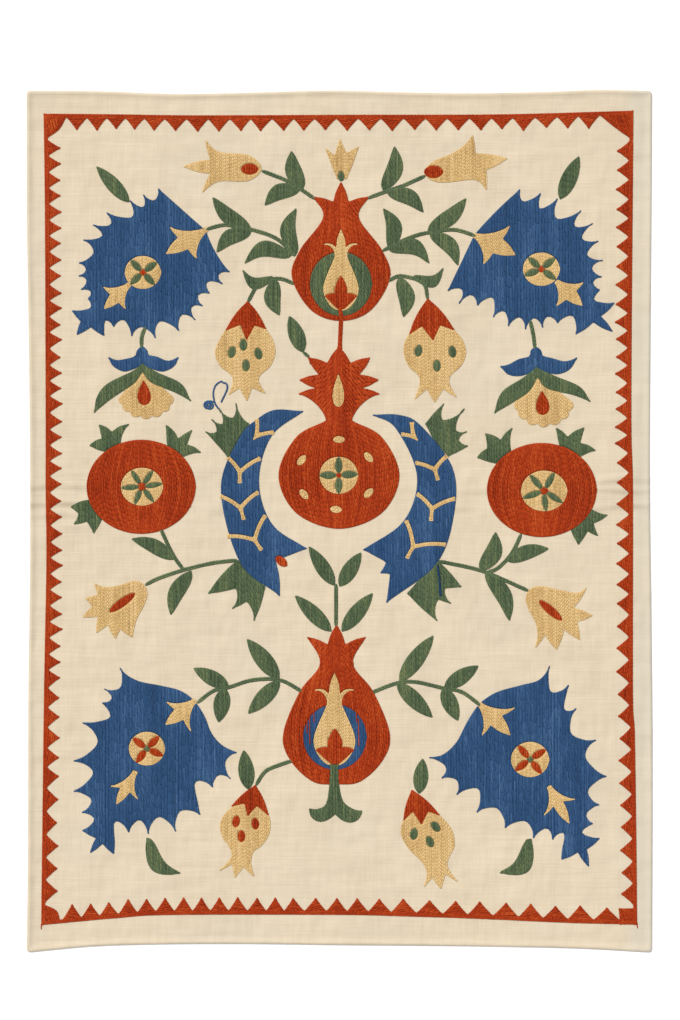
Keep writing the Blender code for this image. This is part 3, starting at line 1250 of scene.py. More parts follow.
# The two round side fruits: red discs worked in bowed rows round a gold rosette, with three
# green sprigs each. The left rosette has six green petals and the right one five.
SIDE_FRUITS = {
    "left_fruit": {
        "middle": (141.2, 486.8),
        "half_size": (0.0827, 0.0714),
        "rosette_middle": (142, 486.8),
        "rosette": (0.0318, 0.0289, 0.0080, 0.0062, (9, 58, 120, 184, 250, 305)),
        "sprigs": (
            (
                ("edge", 0.06, (107, 452)),
                ("edge", 0.12, (90, 445.5)),
                ("edge", 0.04, (102.5, 438.8)),
                ("edge", 0.12, (99.5, 425), (112, 432.5)),
                ("edge", -0.12, (128.8, 424.5)),
                ("edge", 0, (121, 448)),
            ),
            (
                ("edge", 0.02, (168, 451)),
                ("edge", 0.12, (166.3, 425.5)),
                ("edge", 0.06, (178, 439.3)),
                ("edge", 0.02, (191.8, 430.5)),
                ("edge", 0.12, (186.5, 445)),
                ("edge", -0.08, (200.5, 452.5)),
                ("edge", 0, (177, 461)),
            ),
            (
                ("edge", 0.10, (92, 500)),
                ("edge", 0.05, (71.3, 506.8)),
                ("edge", -0.05, (79, 513)),
                ("edge", 0.08, (74.3, 523.8)),
                ("edge", 0.00, (87, 521)),
                ("edge", 0.04, (93.8, 533)),
                ("edge", 0, (103, 517)),
            ),
        ),
    },
    "right_fruit": {
        "middle": (541.7, 490),
        "half_size": (0.0833, 0.0714),
        "rosette_middle": (544, 491),
        "rosette": (0.0350, 0.0310, 0.0090, 0.0062, (63, 128, 201, 275, 324)),
        "sprigs": (
            (
                ("edge", 0.05, (501, 464)),
                ("edge", 0.12, (477.5, 457.5)),
                ("edge", 0.00, (487.5, 448.8)),
                ("edge", 0.10, (485.5, 433.8), (500.8, 440.5)),
                ("edge", -0.08, (512, 428.3)),
                ("edge", 0, (512, 454)),
            ),
            (
                ("edge", 0.03, (561, 451)),
                ("edge", 0.10, (556.3, 428.3), (567.5, 437.5)),
                ("edge", 0.02, (583.8, 428)),
                ("edge", 0.12, (579.5, 443.5)),
                ("edge", -0.05, (595, 450.5)),
                ("edge", 0, (577, 459)),
            ),
            (
                ("edge", -0.06, (588, 507)),
                ("edge", 0.08, (607, 515)),
                ("edge", 0.00, (593, 523)),
                ("edge", 0.08, (597.5, 535.5)),
                ("edge", 0.05, (587.5, 530.5), (578.3, 544.3)),
                ("edge", 0, (569, 524)),
            ),
        ),
    },
}
for fruit_name, fruit in SIDE_FRUITS.items():
    middle = place(*fruit["middle"])
    round_fruit = oval(middle, *fruit["half_size"], points=80)
    disc, petals, heart = rosette(place(*fruit["rosette_middle"]), *fruit["rosette"])
    bow = (*middle, fruit["half_size"][1], ROUND_BOW)
    red_parts = filled(RED, [round_fruit], [disc], bow=bow) + filled(RED, [heart])
    sew(fruit_name + "_red", RED, red_parts)
    sew_filled(fruit_name + "_gold", GOLD, [disc], [*petals, heart])
    sprigs = [rim(on_photo(sprig)) for sprig in fruit["sprigs"]]
    green_parts = filled(GREEN, petals, [heart]) + filled(GREEN, sprigs, [round_fruit])
    sew(fruit_name + "_green", GREEN, green_parts)


# The four blue palmettes in the corners: large saw-edged leaves in long upright stitches, each
# with two gold tulips and a gold rosette. The lower pair has red petals and green hearts.
TULIP_BASE = 2.2


def tulip(base, notch_share, *lobes):
    """A small three-lobed tulip from photo pixels, its notches a share of the way to its base."""
    first, second, third = np.array(lobes)
    sides = (first + second) / 2, (second + third) / 2
    notches = [side + notch_share * (base - side) for side in sides]
    half_base = (third - first) / math.dist(first, third) * TULIP_BASE
    groups = (
        ("edge", -0.10, base - half_base),
        ("edge", 0.08, first, notches[0], second, notches[1]),
        ("edge", -0.12, third),
        ("edge", 0.20, base + half_base),
    )
    return rim(on_photo(groups))


PALMETTES = {
    "palmette_top_left": {
        "outline": (
            ("edge", 0, (206, 231)),
            ("bay", (0.58, 0.50), (158.7, 189)),
            ("bay", (0.80, 0.35), (143.7, 195)),
            ("bay", (0.60, 0.25), (130.3, 200.6)),
            ("bay", (0.65, 0.27), (107, 213)),
            ("bay", (0.78, 0.26), (93.4, 225)),
            ("bay", (0.53, 0.45), (83.7, 240)),
            ("bay", (0.58, 0.50), (79.3, 263)),
            ("bay", (0.54, 0.42), (79, 276)),
            ("bay", (0.60, 0.65), (81.3, 289.5)),
            ("bay", (0.45, 0.20), (88.4, 298.6)),
            ("notch", 0.27, (72.6, 310.8)),
            ("notch", 0.31, (77.2, 334.4)),
            ("bay", (0.79, 0.84), (104, 335.5)),
            ("bay", (0.52, 0.32), (113.7, 326.5)),
            ("bay", (0.42, 0.41), (131.8, 336)),
            ("bay", (0.60, 0.39), (155.4, 338)),
            ("bay", (0.60, 0.56), (178.7, 330.7)),
            ("bay", (0.61, 0.60), (195.2, 320)),
            ("bay", (0.66, 0.50), (202.4, 306)),
            ("bay", (0.68, 0.33), (209.4, 293.4)),
            ("bay", (0.60, 0.46), (222.3, 284)),
            ("edge", -0.05, (229.4, 272)),
        ),
        "tulips": (
            ((206.6, 229.4), 0.27, (170.5, 227.5), (166.5, 253.8), (196.5, 258.3)),
            ((129.5, 284.5), 0.27, (104, 287.3), (104.5, 308.8), (125.6, 308.8)),
        ),
        "rosette_middle": (143, 272.6),
        "rosette": (0.0274, 0.0252, 0.0100, 0.0049, (38, 132, 226, 311)),
        "petal_thread": GREEN,
        "heart_thread": RED,
    },
    "palmette_top_right": {
        "outline": (
            ("edge", 0.02, (474.3, 235)),
            ("bay", (0.53, 0.28), (519.6, 189.8)),
            ("bay", (0.85, 0.24), (540.4, 193.6)),
            ("bay", (0.68, 0.33), (557.2, 199)),
            ("bay", (0.90, 0.42), (580.8, 211)),
            ("bay", (0.82, 0.58), (592.5, 223.7)),
            ("bay", (0.72, 0.54), (598, 241.4)),
            ("bay", (0.65, 0.50), (602.5, 260.5)),
            ("bay", (0.62, 0.50), (601.4, 277)),
            ("bay", (0.59, 0.15), (599.4, 290)),
            ("notch", 0.46, (614, 303.2)),
            ("notch", 0.30, (612, 331.4)),
            ("bay", (0.65, 0.57), (575.7, 334)),
            ("bay", (0.60, 0.50), (557.5, 322.8)),
            ("bay", (0.60, 0.45), (542.5, 327.6)),
            ("bay", (0.62, 0.45), (525.3, 329.2)),
            ("bay", (0.62, 0.62), (508.2, 326)),
            ("bay", (0.78, 0.60), (493.2, 317)),
            ("bay", (0.53, 0.40), (477.4, 305.3)),
            ("bay", (0.70, 0.50), (459, 303.5)),
            ("edge", 0, (447.8, 290.7)),
        ),
        "tulips": (
            ((474.3, 235), 0.27, (509.4, 226), (515, 255), (483.5, 264)),
            ((556.5, 281.6), 0.27, (583, 282.7), (582, 305.7), (556.5, 305.7)),
        ),
        "rosette_middle": (541.3, 269.4),
        "rosette": (0.0280, 0.0255, 0.0100, 0.0049, (42, 135, 202, 322)),
        "petal_thread": GREEN,
        "heart_thread": RED,
    },
    "palmette_lower_left": {
        "outline": (
            ("flow", 0, (194, 700.4), (180, 690.5), (160, 685.5), (140, 681.5), (127, 675)),
            ("bay", (0.46, 0.58), (120.2, 668)),
            ("bay", (0.66, 0.60), (104.5, 688.9)),
            ("bay", (0.56, 0.20), (102.7, 702.7)),
            ("bay", (0.49, 0.42), (82.8, 722.7)),
            ("bay", (0.64, 0.40), (74, 760.7)),
            ("bay", (0.59, 0.62), (74, 791)),
            ("bay", (0.68, 0.42), (82.2, 812.2)),
            ("notch", 0.45, (82.8, 830.2)),
            ("notch", 0.43, (90.6, 852.3)),
            ("bay", (0.67, 1.00), (113.7, 853.4)),
            ("bay", (0.68, 0.50), (128.7, 831.9)),
            ("bay", (0.58, 0.45), (148.2, 833.6)),
            ("bay", (0.48, 0.52), (175.7, 831.2)),
            ("bay", (0.60, 0.88), (200, 814.4)),
            ("bay", (0.43, 0.52), (212.6, 786.9)),
            ("bay", (0.33, 0.56), (230.4, 778.6)),
            ("tip", 0, (236.4, 752.5)),
            ("flow", 0, (222, 745), (211.5, 733), (204.5, 716)),
        ),
        "tulips": (
            ((195, 700.4), 0.32, (167, 702), (165.8, 724.5), (191, 731)),
            ((135.5, 771.5), 0.34, (111, 786), (116.6, 804), (138, 799)),
        ),
        "rosette_middle": (147, 748.6),
        "rosette": (0.0274, 0.0258, 0.0105, 0.0049, (47, 141, 235, 335)),
        "petal_thread": RED,
        "heart_thread": GREEN,
    },
    "palmette_lower_right": {
        "outline": (
            ("flow", 0, (479.4, 704), (496, 692.5), (520, 685.5), (537, 681), (545, 674)),
            ("bay", (0.64, 0.70), (549.4, 666)),
            ("bay", (0.48, 0.84), (568.4, 685.2)),
            ("bay", (0.47, 0.50), (576, 708.4)),
            ("bay", (0.39, 0.38), (595.6, 740)),
            ("bay", (0.49, 0.62), (606, 776.3)),
            ("bay", (0.46, 0.63), (598.8, 804.6)),
            ("bay", (0.85, 0.25), (592.4, 823.4)),
            ("notch", 0.28, (599.2, 838.2)),
            ("notch", 0.41, (588.4, 866)),
            ("bay", (0.61, 1.00), (561.6, 859)),
            ("bay", (0.56, 0.37), (552.4, 839.2)),
            ("bay", (0.44, 0.44), (533.2, 837.8)),
            ("bay", (0.41, 0.51), (505, 827.6)),
            ("bay", (0.70, 0.53), (476.8, 812)),
            ("bay", (0.44, 0.47), (456.7, 794.4)),
            ("bay", (0.40, 0.34), (441.7, 777.8)),
            ("tip", 0, (429.2, 757.5)),
            ("flow", 0, (443, 754.5), (456.5, 742), (467, 722)),
        ),
        "tulips": (
            ((479.4, 704), 0.34, (514.5, 707.7), (510, 735), (482, 735)),
            ((549, 786.5), 0.42, (575, 799), (569, 823), (544, 815)),
        ),
        "rosette_middle": (530, 759.4),
        "rosette": (0.0289, 0.0269, 0.0105, 0.0049, (34, 128, 219, 307)),
        "petal_thread": RED,
        "heart_thread": GREEN,
    },
}
for palmette_name, palmette in PALMETTES.items():
    outline = rim(on_photo(palmette["outline"]))
    tulips = [tulip(*flower) for flower in palmette["tulips"]]
    disc, petals, heart = rosette(place(*palmette["rosette_middle"]), *palmette["rosette"])
    sew_filled(palmette_name + "_blue", BLUE, [outline], [*tulips, disc])
    gold_parts = filled(GOLD, tulips, [disc]) + filled(GOLD, [disc], [*petals, heart])
    sew(palmette_name + "_gold", GOLD, gold_parts)
    sew_filled(palmette_name + "_petals", palmette["petal_thread"], petals, [heart])
    sew_filled(palmette_name + "_heart", palmette["heart_thread"], [heart])


# The two blue crescents that hold the middle fruit, barred with gold chevrons. Green leaf
# clusters grow from their ends, and a red slit is sewn into the left one.
CHEVRON_WIDTH = 0.0058
CHEVRON_STEM_WIDTH = 0.0052
ARM_BULGE = 0.055


def chevron(start, turn, end):
    """A chevron between photo pixels, its two arms bowed towards its opening."""
    start, turn, end = placed((start, turn, end))
    arms = arc(start, turn, ARM_BULGE, 0.006), arc(turn, end, ARM_BULGE, 0.006)[1:]
    return ribbon(np.vstack(arms), CHEVRON_WIDTH)


CRESCENTS = {
    "left_crescent": {
        "outline": (
            ("tip", 0, (303, 411.5)),
            ("flow", 0, (275, 410), (257, 419.5), (240, 437), (221, 488), (240, 562)),
            ("edge", 0.06, (279.4, 595.6)),
            ("edge", 0, (275.5, 562), (284.6, 557)),
            ("tip", 0, (306.5, 548.5)),
            ("flow", 0, (272, 524), (259, 482), (271, 437)),
        ),
        "chevrons": (
            ((256.9, 419.6), (256.1, 436.6), (273.4, 432.6)),
            ((227.9, 457.7), (239.9, 472.5), (260.3, 458.5)),
            ((220.7, 496.4), (240.7, 508.4), (258.2, 492.4)),
            ((227.9, 536.3), (255, 540.3), (265.4, 515.6)),
        ),
        "stems": (
            ((239.9, 472.5), (239.9, 482.9)),
            ((240.7, 508.4), (243.9, 519.6)),
            ((255, 540.3), (261.4, 549.9)),
        ),
        "clusters": (
            (
                ("edge", -0.10, (249, 424), (236, 403.3), (233, 418.5), (219, 409), (223, 424.5)),
                ("edge", -0.10, (211.7, 419.3), (217, 432.5)),
                ("edge", 0, (205.7, 431.7), (228, 457), (240, 450)),
            ),
            (
                ("edge", 0.05, (237.5, 560.2)),
                ("edge", 0.03, (208.5, 593.3)),
                ("edge", -0.15, (236, 588)),
                ("edge", 0.05, (232.3, 608.3)),
                ("edge", -0.10, (246.5, 601)),
                ("edge", 0.04, (254, 620.5)),
                ("edge", 0, (265, 587), (255, 570)),
            ),
        ),
    },
    "right_crescent": {
        "outline": (
            ("tip", 0, (373, 415)),
            ("flow", 0, (398.5, 415), (420, 425), (452.5, 468), (453.6, 516), (436, 564)),
            ("edge", 0, (386.6, 602.4), (390.2, 573.6), (380.7, 572.8), (386.6, 562.3)),
            ("tip", 0, (363.5, 549.6)),
            ("flow", 0, (404, 520.6), (417, 476), (396, 428.7)),
        ),
        "chevrons": (
            ((401.5, 434.5), (414.6, 437.4), (412, 422)),
            ((415.8, 463), (435, 470), (446.8, 456)),
            ((417, 494), (432, 509), (455, 498.7)),
            ((406, 520.6), (413, 547), (445.6, 544.7)),
        ),
        "stems": (
            ((435, 470), (438, 480)),
            ((432, 509), (431, 520.6)),
            ((413, 547), (407, 558)),
        ),
        "clusters": (
            (
                ("edge", 0.04, (425.5, 424)),
                ("edge", -0.10, (443.7, 404), (442, 420.5), (464.3, 409), (455.5, 431)),
                ("edge", -0.10, (466.7, 431.7), (458, 440)),
                ("edge", 0.03, (467.7, 446)),
                ("edge", 0, (448.3, 456), (436, 445)),
            ),
            (
                ("edge", 0.03, (439.3, 562)),
                ("edge", 0.02, (461, 586.7)),
                ("edge", -0.12, (444.5, 588)),
                ("edge", 0.03, (450.7, 603.3)),
                ("edge", -0.12, (438, 599)),
                ("edge", 0.03, (437, 620.7)),
                ("edge", 0, (407.5, 593.3), (425, 572)),
            ),
        ),
    },
}
red_slit = oval(place(281.5, 561.3), 0.0105, 0.0065, math.radians(-40), 20)
for crescent_name, crescent in CRESCENTS.items():
    outline = rim(on_photo(crescent["outline"]))
    bars = [chevron(*spots) for spots in crescent["chevrons"]]
    bars += [ribbon(placed(path), CHEVRON_STEM_WIDTH) for path in crescent["stems"]]
    sew_filled(crescent_name + "_blue", BLUE, [outline], [*bars, red_slit])
    sew_filled(crescent_name + "_gold", GOLD, bars)
    clusters = [rim(on_photo(cluster)) for cluster in crescent["clusters"]]
    sew_filled(crescent_name + "_green", GREEN, clusters, [outline])
sew_filled("left_crescent_slit", RED, [red_slit])


# The green branches: thin stems of two lines of stitches, with pointed leaves in upright rows.
# Leaves that meet a pomegranate stop at its edge.
STEM_WIDTH = 0.0052
STEM_LINES = 2
BRANCHES = {
    "branch_top_left": {
        "stems": (((262, 171), (289, 182), (315, 199)),),
        # base, tip, width, bend
        "leaves": (
            ((302, 190), (291.4, 151.8), 0.0255, 0.08),
            ((300, 188), (265, 205), 0.0245, -0.14),
        ),
    },
    "branch_left": {
        "stems": (((294.6, 256), (277, 239), (252.5, 230), (226, 225), (206.6, 229.4)),),
        "leaves": (
            ((294.6, 256), (296, 209), 0.0245, 0.16),
            ((291.6, 255), (245, 263), 0.025, -0.23),
            ((251, 231), (213, 198), 0.024, 0.075),
            ((251, 231), (217, 252), 0.024, -0.145),
        ),
    },
    "branch_left_small": {
        "stems": (((294, 284), (282, 279), (271, 279)), ((257.5, 284), (248, 302))),
        "leaves": (
            ((274, 279), (242.9, 270.5), 0.0185, 0.30),
            ((274, 279), (279, 315), 0.0255, -0.12),
        ),
    },
    "leaf_by_crown": {
        "stems": (((303, 352), (309, 357)),),
        "leaves": (((303, 352), (289.5, 316.6), 0.024, 0),),
    },
    "leaf_top_left": {"stems": (), "leaves": (((129, 202), (97, 167), 0.021, 0),)},
    "leaf_top_right": {"stems": (), "leaves": (((560, 199), (578.8, 157), 0.024, 0),)},
    "branch_top_right": {
        "stems": (((425, 176), (405, 185), (386, 191.6), (367.6, 198.4)),),
        "leaves": (
            ((383.6, 191), (394.6, 147), 0.0255, -0.12),
            ((387, 191), (423, 212), 0.0245, 0.14),
        ),
    },
    "branch_right": {
        "stems": (((382.5, 251), (409, 238), (432, 232), (455, 230), (475.5, 236)),),
        "leaves": (
            ((391.7, 250.6), (383.6, 209), 0.0245, -0.16),
            ((388, 248), (429, 263), 0.025, 0.23),
            ((428, 231), (465.8, 199), 0.024, -0.075),
            ((430, 232), (457.8, 265), 0.024, 0.145),
        ),
    },
    "branch_right_small": {
        "stems": (((388.7, 281), (401, 276), (423, 283), (427.7, 299)),),
        "leaves": (
            ((413, 278), (443, 268.5), 0.0185, -0.30),
            ((400, 277), (403.6, 316.7), 0.0255, 0.12),
        ),
    },
    "branch_left_fruit": {
        "stems": (
            ((161, 529.4), (168, 544.8), (175, 558), (183.5, 569.5)),
            (
                (236.7, 560.2), (212.9, 563), (191, 568), (180.6, 570.8), (158.2, 578.5),
                (145.6, 584.8),
            ),
        ),
        "leaves": (
            ((175, 558.8), (132.2, 538.9), 0.022, -0.06),
            ((191, 571), (170.8, 614.3), 0.0245, -0.09),
        ),
    },
    "branch_right_fruit": {
        "stems": (
            ((521, 534), (515, 547.5), (507.5, 558.8), (496.3, 569), (486, 572.5)),
            ((438.7, 561), (482, 571), (528, 590.6)),
        ),
        "leaves": (
            ((481, 571), (495.7, 532.6), 0.0265, -0.12),
            ((506.5, 560.5), (548, 548.6), 0.0225, 0.06),
            ((486, 571), (509.4, 620.3), 0.0255, 0.10),
        ),
    },
    "branch_middle": {
        "stems": (((336, 584), (336, 627)),),
        "leaves": (
            ((334.4, 585), (309.3, 547), 0.022, 0),
            ((339.6, 586), (360.7, 553), 0.023, 0),
            ((331, 631), (295.6, 596), 0.023, 0),
            ((342, 631), (372.3, 593.6), 0.0235, 0),
        ),
    },
    "branch_lower_left": {
        "stems": (
            (
                (302.6, 691.6), (280, 680), (252.5, 680), (229.6, 687), (213.5, 690.7),
                (197.4, 702.7),
            ),
        ),
        "leaves": (
            ((279, 678.5), (247.5, 639.5), 0.026, 0),
            ((279.6, 681), (248.6, 713), 0.024, 0),
            ((228.6, 686.7), (194.3, 668.4), 0.023, 0),
            ((224.4, 688), (218.8, 721.7), 0.025, 0),
        ),
    },
    "branch_lower_right": {
        "stems": (((370, 693), (397, 683), (416, 682), (443, 688), (462, 692), (480, 705)),),
        "leaves": (
            ((399.7, 681), (433, 636), 0.025, 0),
            ((397, 683), (432, 717), 0.024, 0),
            ((444.5, 687.7), (477.8, 666), 0.023, 0),
            ((443, 688), (457.8, 720), 0.024, 0),
        ),
    },
    "branch_bud_left": {
        "stems": (((292.5, 760.5), (273.5, 767), (264, 772.5), (256, 785)),),
        "leaves": (((248.5, 789), (243.9, 750.6), 0.024, 0),),
    },
    "leaf_bud_right": {"stems": (), "leaves": (((419, 793), (422.7, 759), 0.0225, 0),)},
    "leaf_lower_left": {"stems": (), "leaves": (((147, 838), (180, 873), 0.0240, -0.22),)},
    "leaf_lower_right": {"stems": (), "leaves": (((531, 839), (500, 872.5), 0.0265, 0.25),)},
}
for branch_name, branch in BRANCHES.items():
    leaves = [leaf(place(*base), place(*tip), *rest) for base, tip, *rest in branch["leaves"]]
    parts = filled(GREEN, leaves, [lower_fruit, top_fruit, middle_fruit])
    for path in branch["stems"]:
        parts += line(GREEN, bent(placed(path)), STEM_WIDTH, STEM_LINES)
    sew(branch_name, GREEN, parts)


# Gold tulips at the top and gold lilies at the sides, all in chain stitch. The tulips hold a
# green or red seed, and the lilies a red slit.
GOLD_FLOWERS = {
    "tulip_top_middle": {
        "outline": (
            ("edge", 0.02, (346.3, 179.1), (358.4, 147.2), (346.3, 153.5), (339.9, 139.6)),
            ("edge", 0.02, (334.8, 156), (325.9, 149.1), (337.4, 179.1)),
        ),
        # photo_x, photo_y, half length, half width, turn in degrees
        "seed": (341.2, 176.6, 0.0075, 0.0050, 90),
        "seed_thread": GREEN,
    },
    "tulip_top_left": {
        "outline": (
            ("edge", 0.06, (205.8, 141), (211, 160), (184, 166.7), (211, 173.7)),
            ("flow", 0, (202.7, 192), (219, 181.5), (248, 181), (261.5, 169), (249, 155.5)),
            ("flow", 0, (219, 152)),
        ),
        "seed": (249.7, 169.3, 0.0129, 0.0084, 0),
        "seed_thread": RED,
    },
    "tulip_top_right": {
        "outline": (
            ("edge", 0.05, (472.5, 135.8), (475, 153.8), (506.8, 158.8), (485.8, 170)),
            ("tip", 0, (486.3, 189.5)),
            ("flow", 0, (475, 180), (447.5, 182.5), (432.5, 181), (424.3, 172.5), (432.5, 162)),
            ("flow", 0, (450, 154.5), (463.8, 146)),
        ),
        "seed": (433.4, 172, 0.0144, 0.0096, 0),
        "seed_thread": RED,
    },
    "lily_left": {
        "outline": (
            ("edge", 0.06, (132.2, 636.8), (120, 628.5), (115.3, 638.1), (108, 624)),
            ("edge", 0.06, (96.8, 632.4), (98.5, 616), (83.3, 616.8), (93, 606.5)),
            ("edge", 0.06, (86.4, 598.3), (98.5, 595)),
            ("tip", 0, (95, 583.8)),
            ("flow", 0, (105.4, 587.2), (119, 585.6), (134, 580.9), (143.1, 583.8), (147.5, 593.4)),
            ("flow", 0, (143.6, 606.4), (136.6, 619.4)),
        ),
        "seed": (122.4, 602.6, 0.0233, 0.0060, 36),
        "seed_thread": RED,
    },
    "lily_right": {
        "outline": (
            ("edge", 0.06, (535.5, 647), (545, 634), (556.3, 649.3), (563.8, 628.8)),
            ("edge", 0.06, (579.5, 639.5), (576.5, 621.5), (591.8, 615.5), (573, 608)),
            ("tip", 0, (585.8, 588.3)),
            ("flow", 0, (577.5, 592.8), (560, 590), (542.5, 586.3), (530, 588.8)),
            ("flow", 0, (525.5, 598.8), (528.8, 610), (535.5, 622.5), (537.5, 635)),
        ),
        "seed": (550.6, 610.5, 0.0222, 0.0060, -41),
        "seed_thread": RED,
    },
}
for flower_name, flower in GOLD_FLOWERS.items():
    x, y, half_long, half_wide, angle = flower["seed"]
    seed = oval(place(x, y), half_long, half_wide, math.radians(angle), 24)
    outline = rim(on_photo(flower["outline"]))
    sew_filled(flower_name, GOLD, [outline], [seed])
    sew_filled(flower_name + "_seed", flower["seed_thread"], [seed])


# The two bell flowers under the upper palmettes: a blue winged cap on a green stem, a green
# roof of two leaves, and a scalloped gold fan with a red drop.
SCALLOPS = 7
SCALLOP_BULGE = 0.36
BELL_DROP_WIDTH = 0.0205
BELLS = {
    "bell_left": {
        "stem": ((145.8, 327), (142, 336), (141.6, 348)),
        "cap": (
            ("tip", 0, (178.3, 357.5)),
            ("flow", 0, (174.5, 366), (163, 371.5)),
            ("edge", 0, (150, 368.5), (142.5, 364)),
            ("tip", 0, (135.5, 368.5)),
            ("flow", 0, (124, 371.5), (113, 366)),
            ("tip", 0, (108.8, 357.6)),
            ("flow", 0, (117, 360.3), (127, 358.8), (134.5, 356.8)),
            ("tip", 0, (136.4, 355.5)),
            ("flow", 0, (137, 350.5), (142.3, 346.6), (147.4, 350.5)),
            ("tip", 0, (148.2, 355.5)),
            ("flow", 0, (157, 356.8), (168, 361)),
        ),
        "roof": (
            ("tip", 0, (142.5, 363.8)),
            ("flow", 0, (132.5, 371.2), (107.5, 383.8), (97, 397)),
            ("tip", 0, (94.3, 412.5)),
            ("flow", 0, (112.5, 398), (133.8, 383.8)),
            ("tip", 0, (142.7, 371.5)),
            ("flow", 0, (151.3, 382.5), (175, 392.5)),
            ("tip", 0, (190.8, 401)),
            ("flow", 0, (181.3, 383.8), (157.5, 372.5)),
        ),
        "fan_top": (142.7, 370),
        # photo_x of both ends, photo_y of both ends and of the lowest point
        "fan": (120.5, 172, 396, 415.5),
        "drop": ((143.7, 381.1), (144.7, 405.2)),
    },
    "bell_right": {
        "stem": ((530, 320.6), (533, 334), (535, 349)),
        "cap": (
            ("tip", 0, (576.8, 358)),
            ("flow", 0, (570, 369), (559, 374)),
            ("edge", 0, (547, 373), (536.3, 367.5)),
            ("tip", 0, (530, 373)),
            ("flow", 0, (520, 376), (508, 374.5)),
            ("tip", 0, (500.5, 366.5)),
            ("flow", 0, (509, 364.5), (518, 359.5), (528.5, 357)),
            ("tip", 0, (530.3, 355.8)),
            ("flow", 0, (530.6, 350.5), (535.8, 347), (541, 350.5)),
            ("tip", 0, (541.8, 356)),
            ("flow", 0, (552, 358.3), (565, 361.5)),
        ),
        "roof": (
            ("tip", 0, (536.3, 367.5)),
            ("flow", 0, (522, 378.5), (505, 389), (498, 399)),
            ("tip", 0, (494.5, 413)),
            ("flow", 0, (512, 403), (529, 391.5)),
            ("tip", 0, (537.5, 377)),
            ("flow", 0, (547, 388.5), (573, 395)),
            ("tip", 0, (590, 401.5)),
            ("flow", 0, (580, 387), (556, 376.5)),
        ),
        "fan_top": (537.5, 376),
        "fan": (516, 571, 401, 423.5),
        "drop": ((542, 391.5), (543, 415)),
    },
}
for bell_name, bell in BELLS.items():
    cap = rim(on_photo(bell["cap"]))
    roof = rim(on_photo(bell["roof"]))
    bell_drop = drop(*bell["drop"], BELL_DROP_WIDTH)
    from_x, to_x, ends_y, low_y = bell["fan"]
    turns = np.linspace(math.pi, 2 * math.pi, SCALLOPS + 1)
    cusps = [
        (
            (from_x + to_x + (to_x - from_x) * math.cos(t)) / 2,
            ends_y - (low_y - ends_y) * math.sin(t),
        )
        for t in turns
    ]
    top = ("edge", 0, cusps[-1], bell["fan_top"])
    fan = rim(on_photo((("edge", SCALLOP_BULGE, *cusps[:-1]), top)))
    sew_filled(bell_name + "_cap", BLUE, [cap], [roof])
    stem = bent(placed(bell["stem"]))
    green_parts = filled(GREEN, [roof]) + line(GREEN, stem, STEM_WIDTH, STEM_LINES)
    sew(bell_name + "_green", GREEN, green_parts)
    sew_filled(bell_name + "_fan", GOLD, [fan], [roof, bell_drop])
    sew_filled(bell_name + "_drop", RED, [bell_drop])


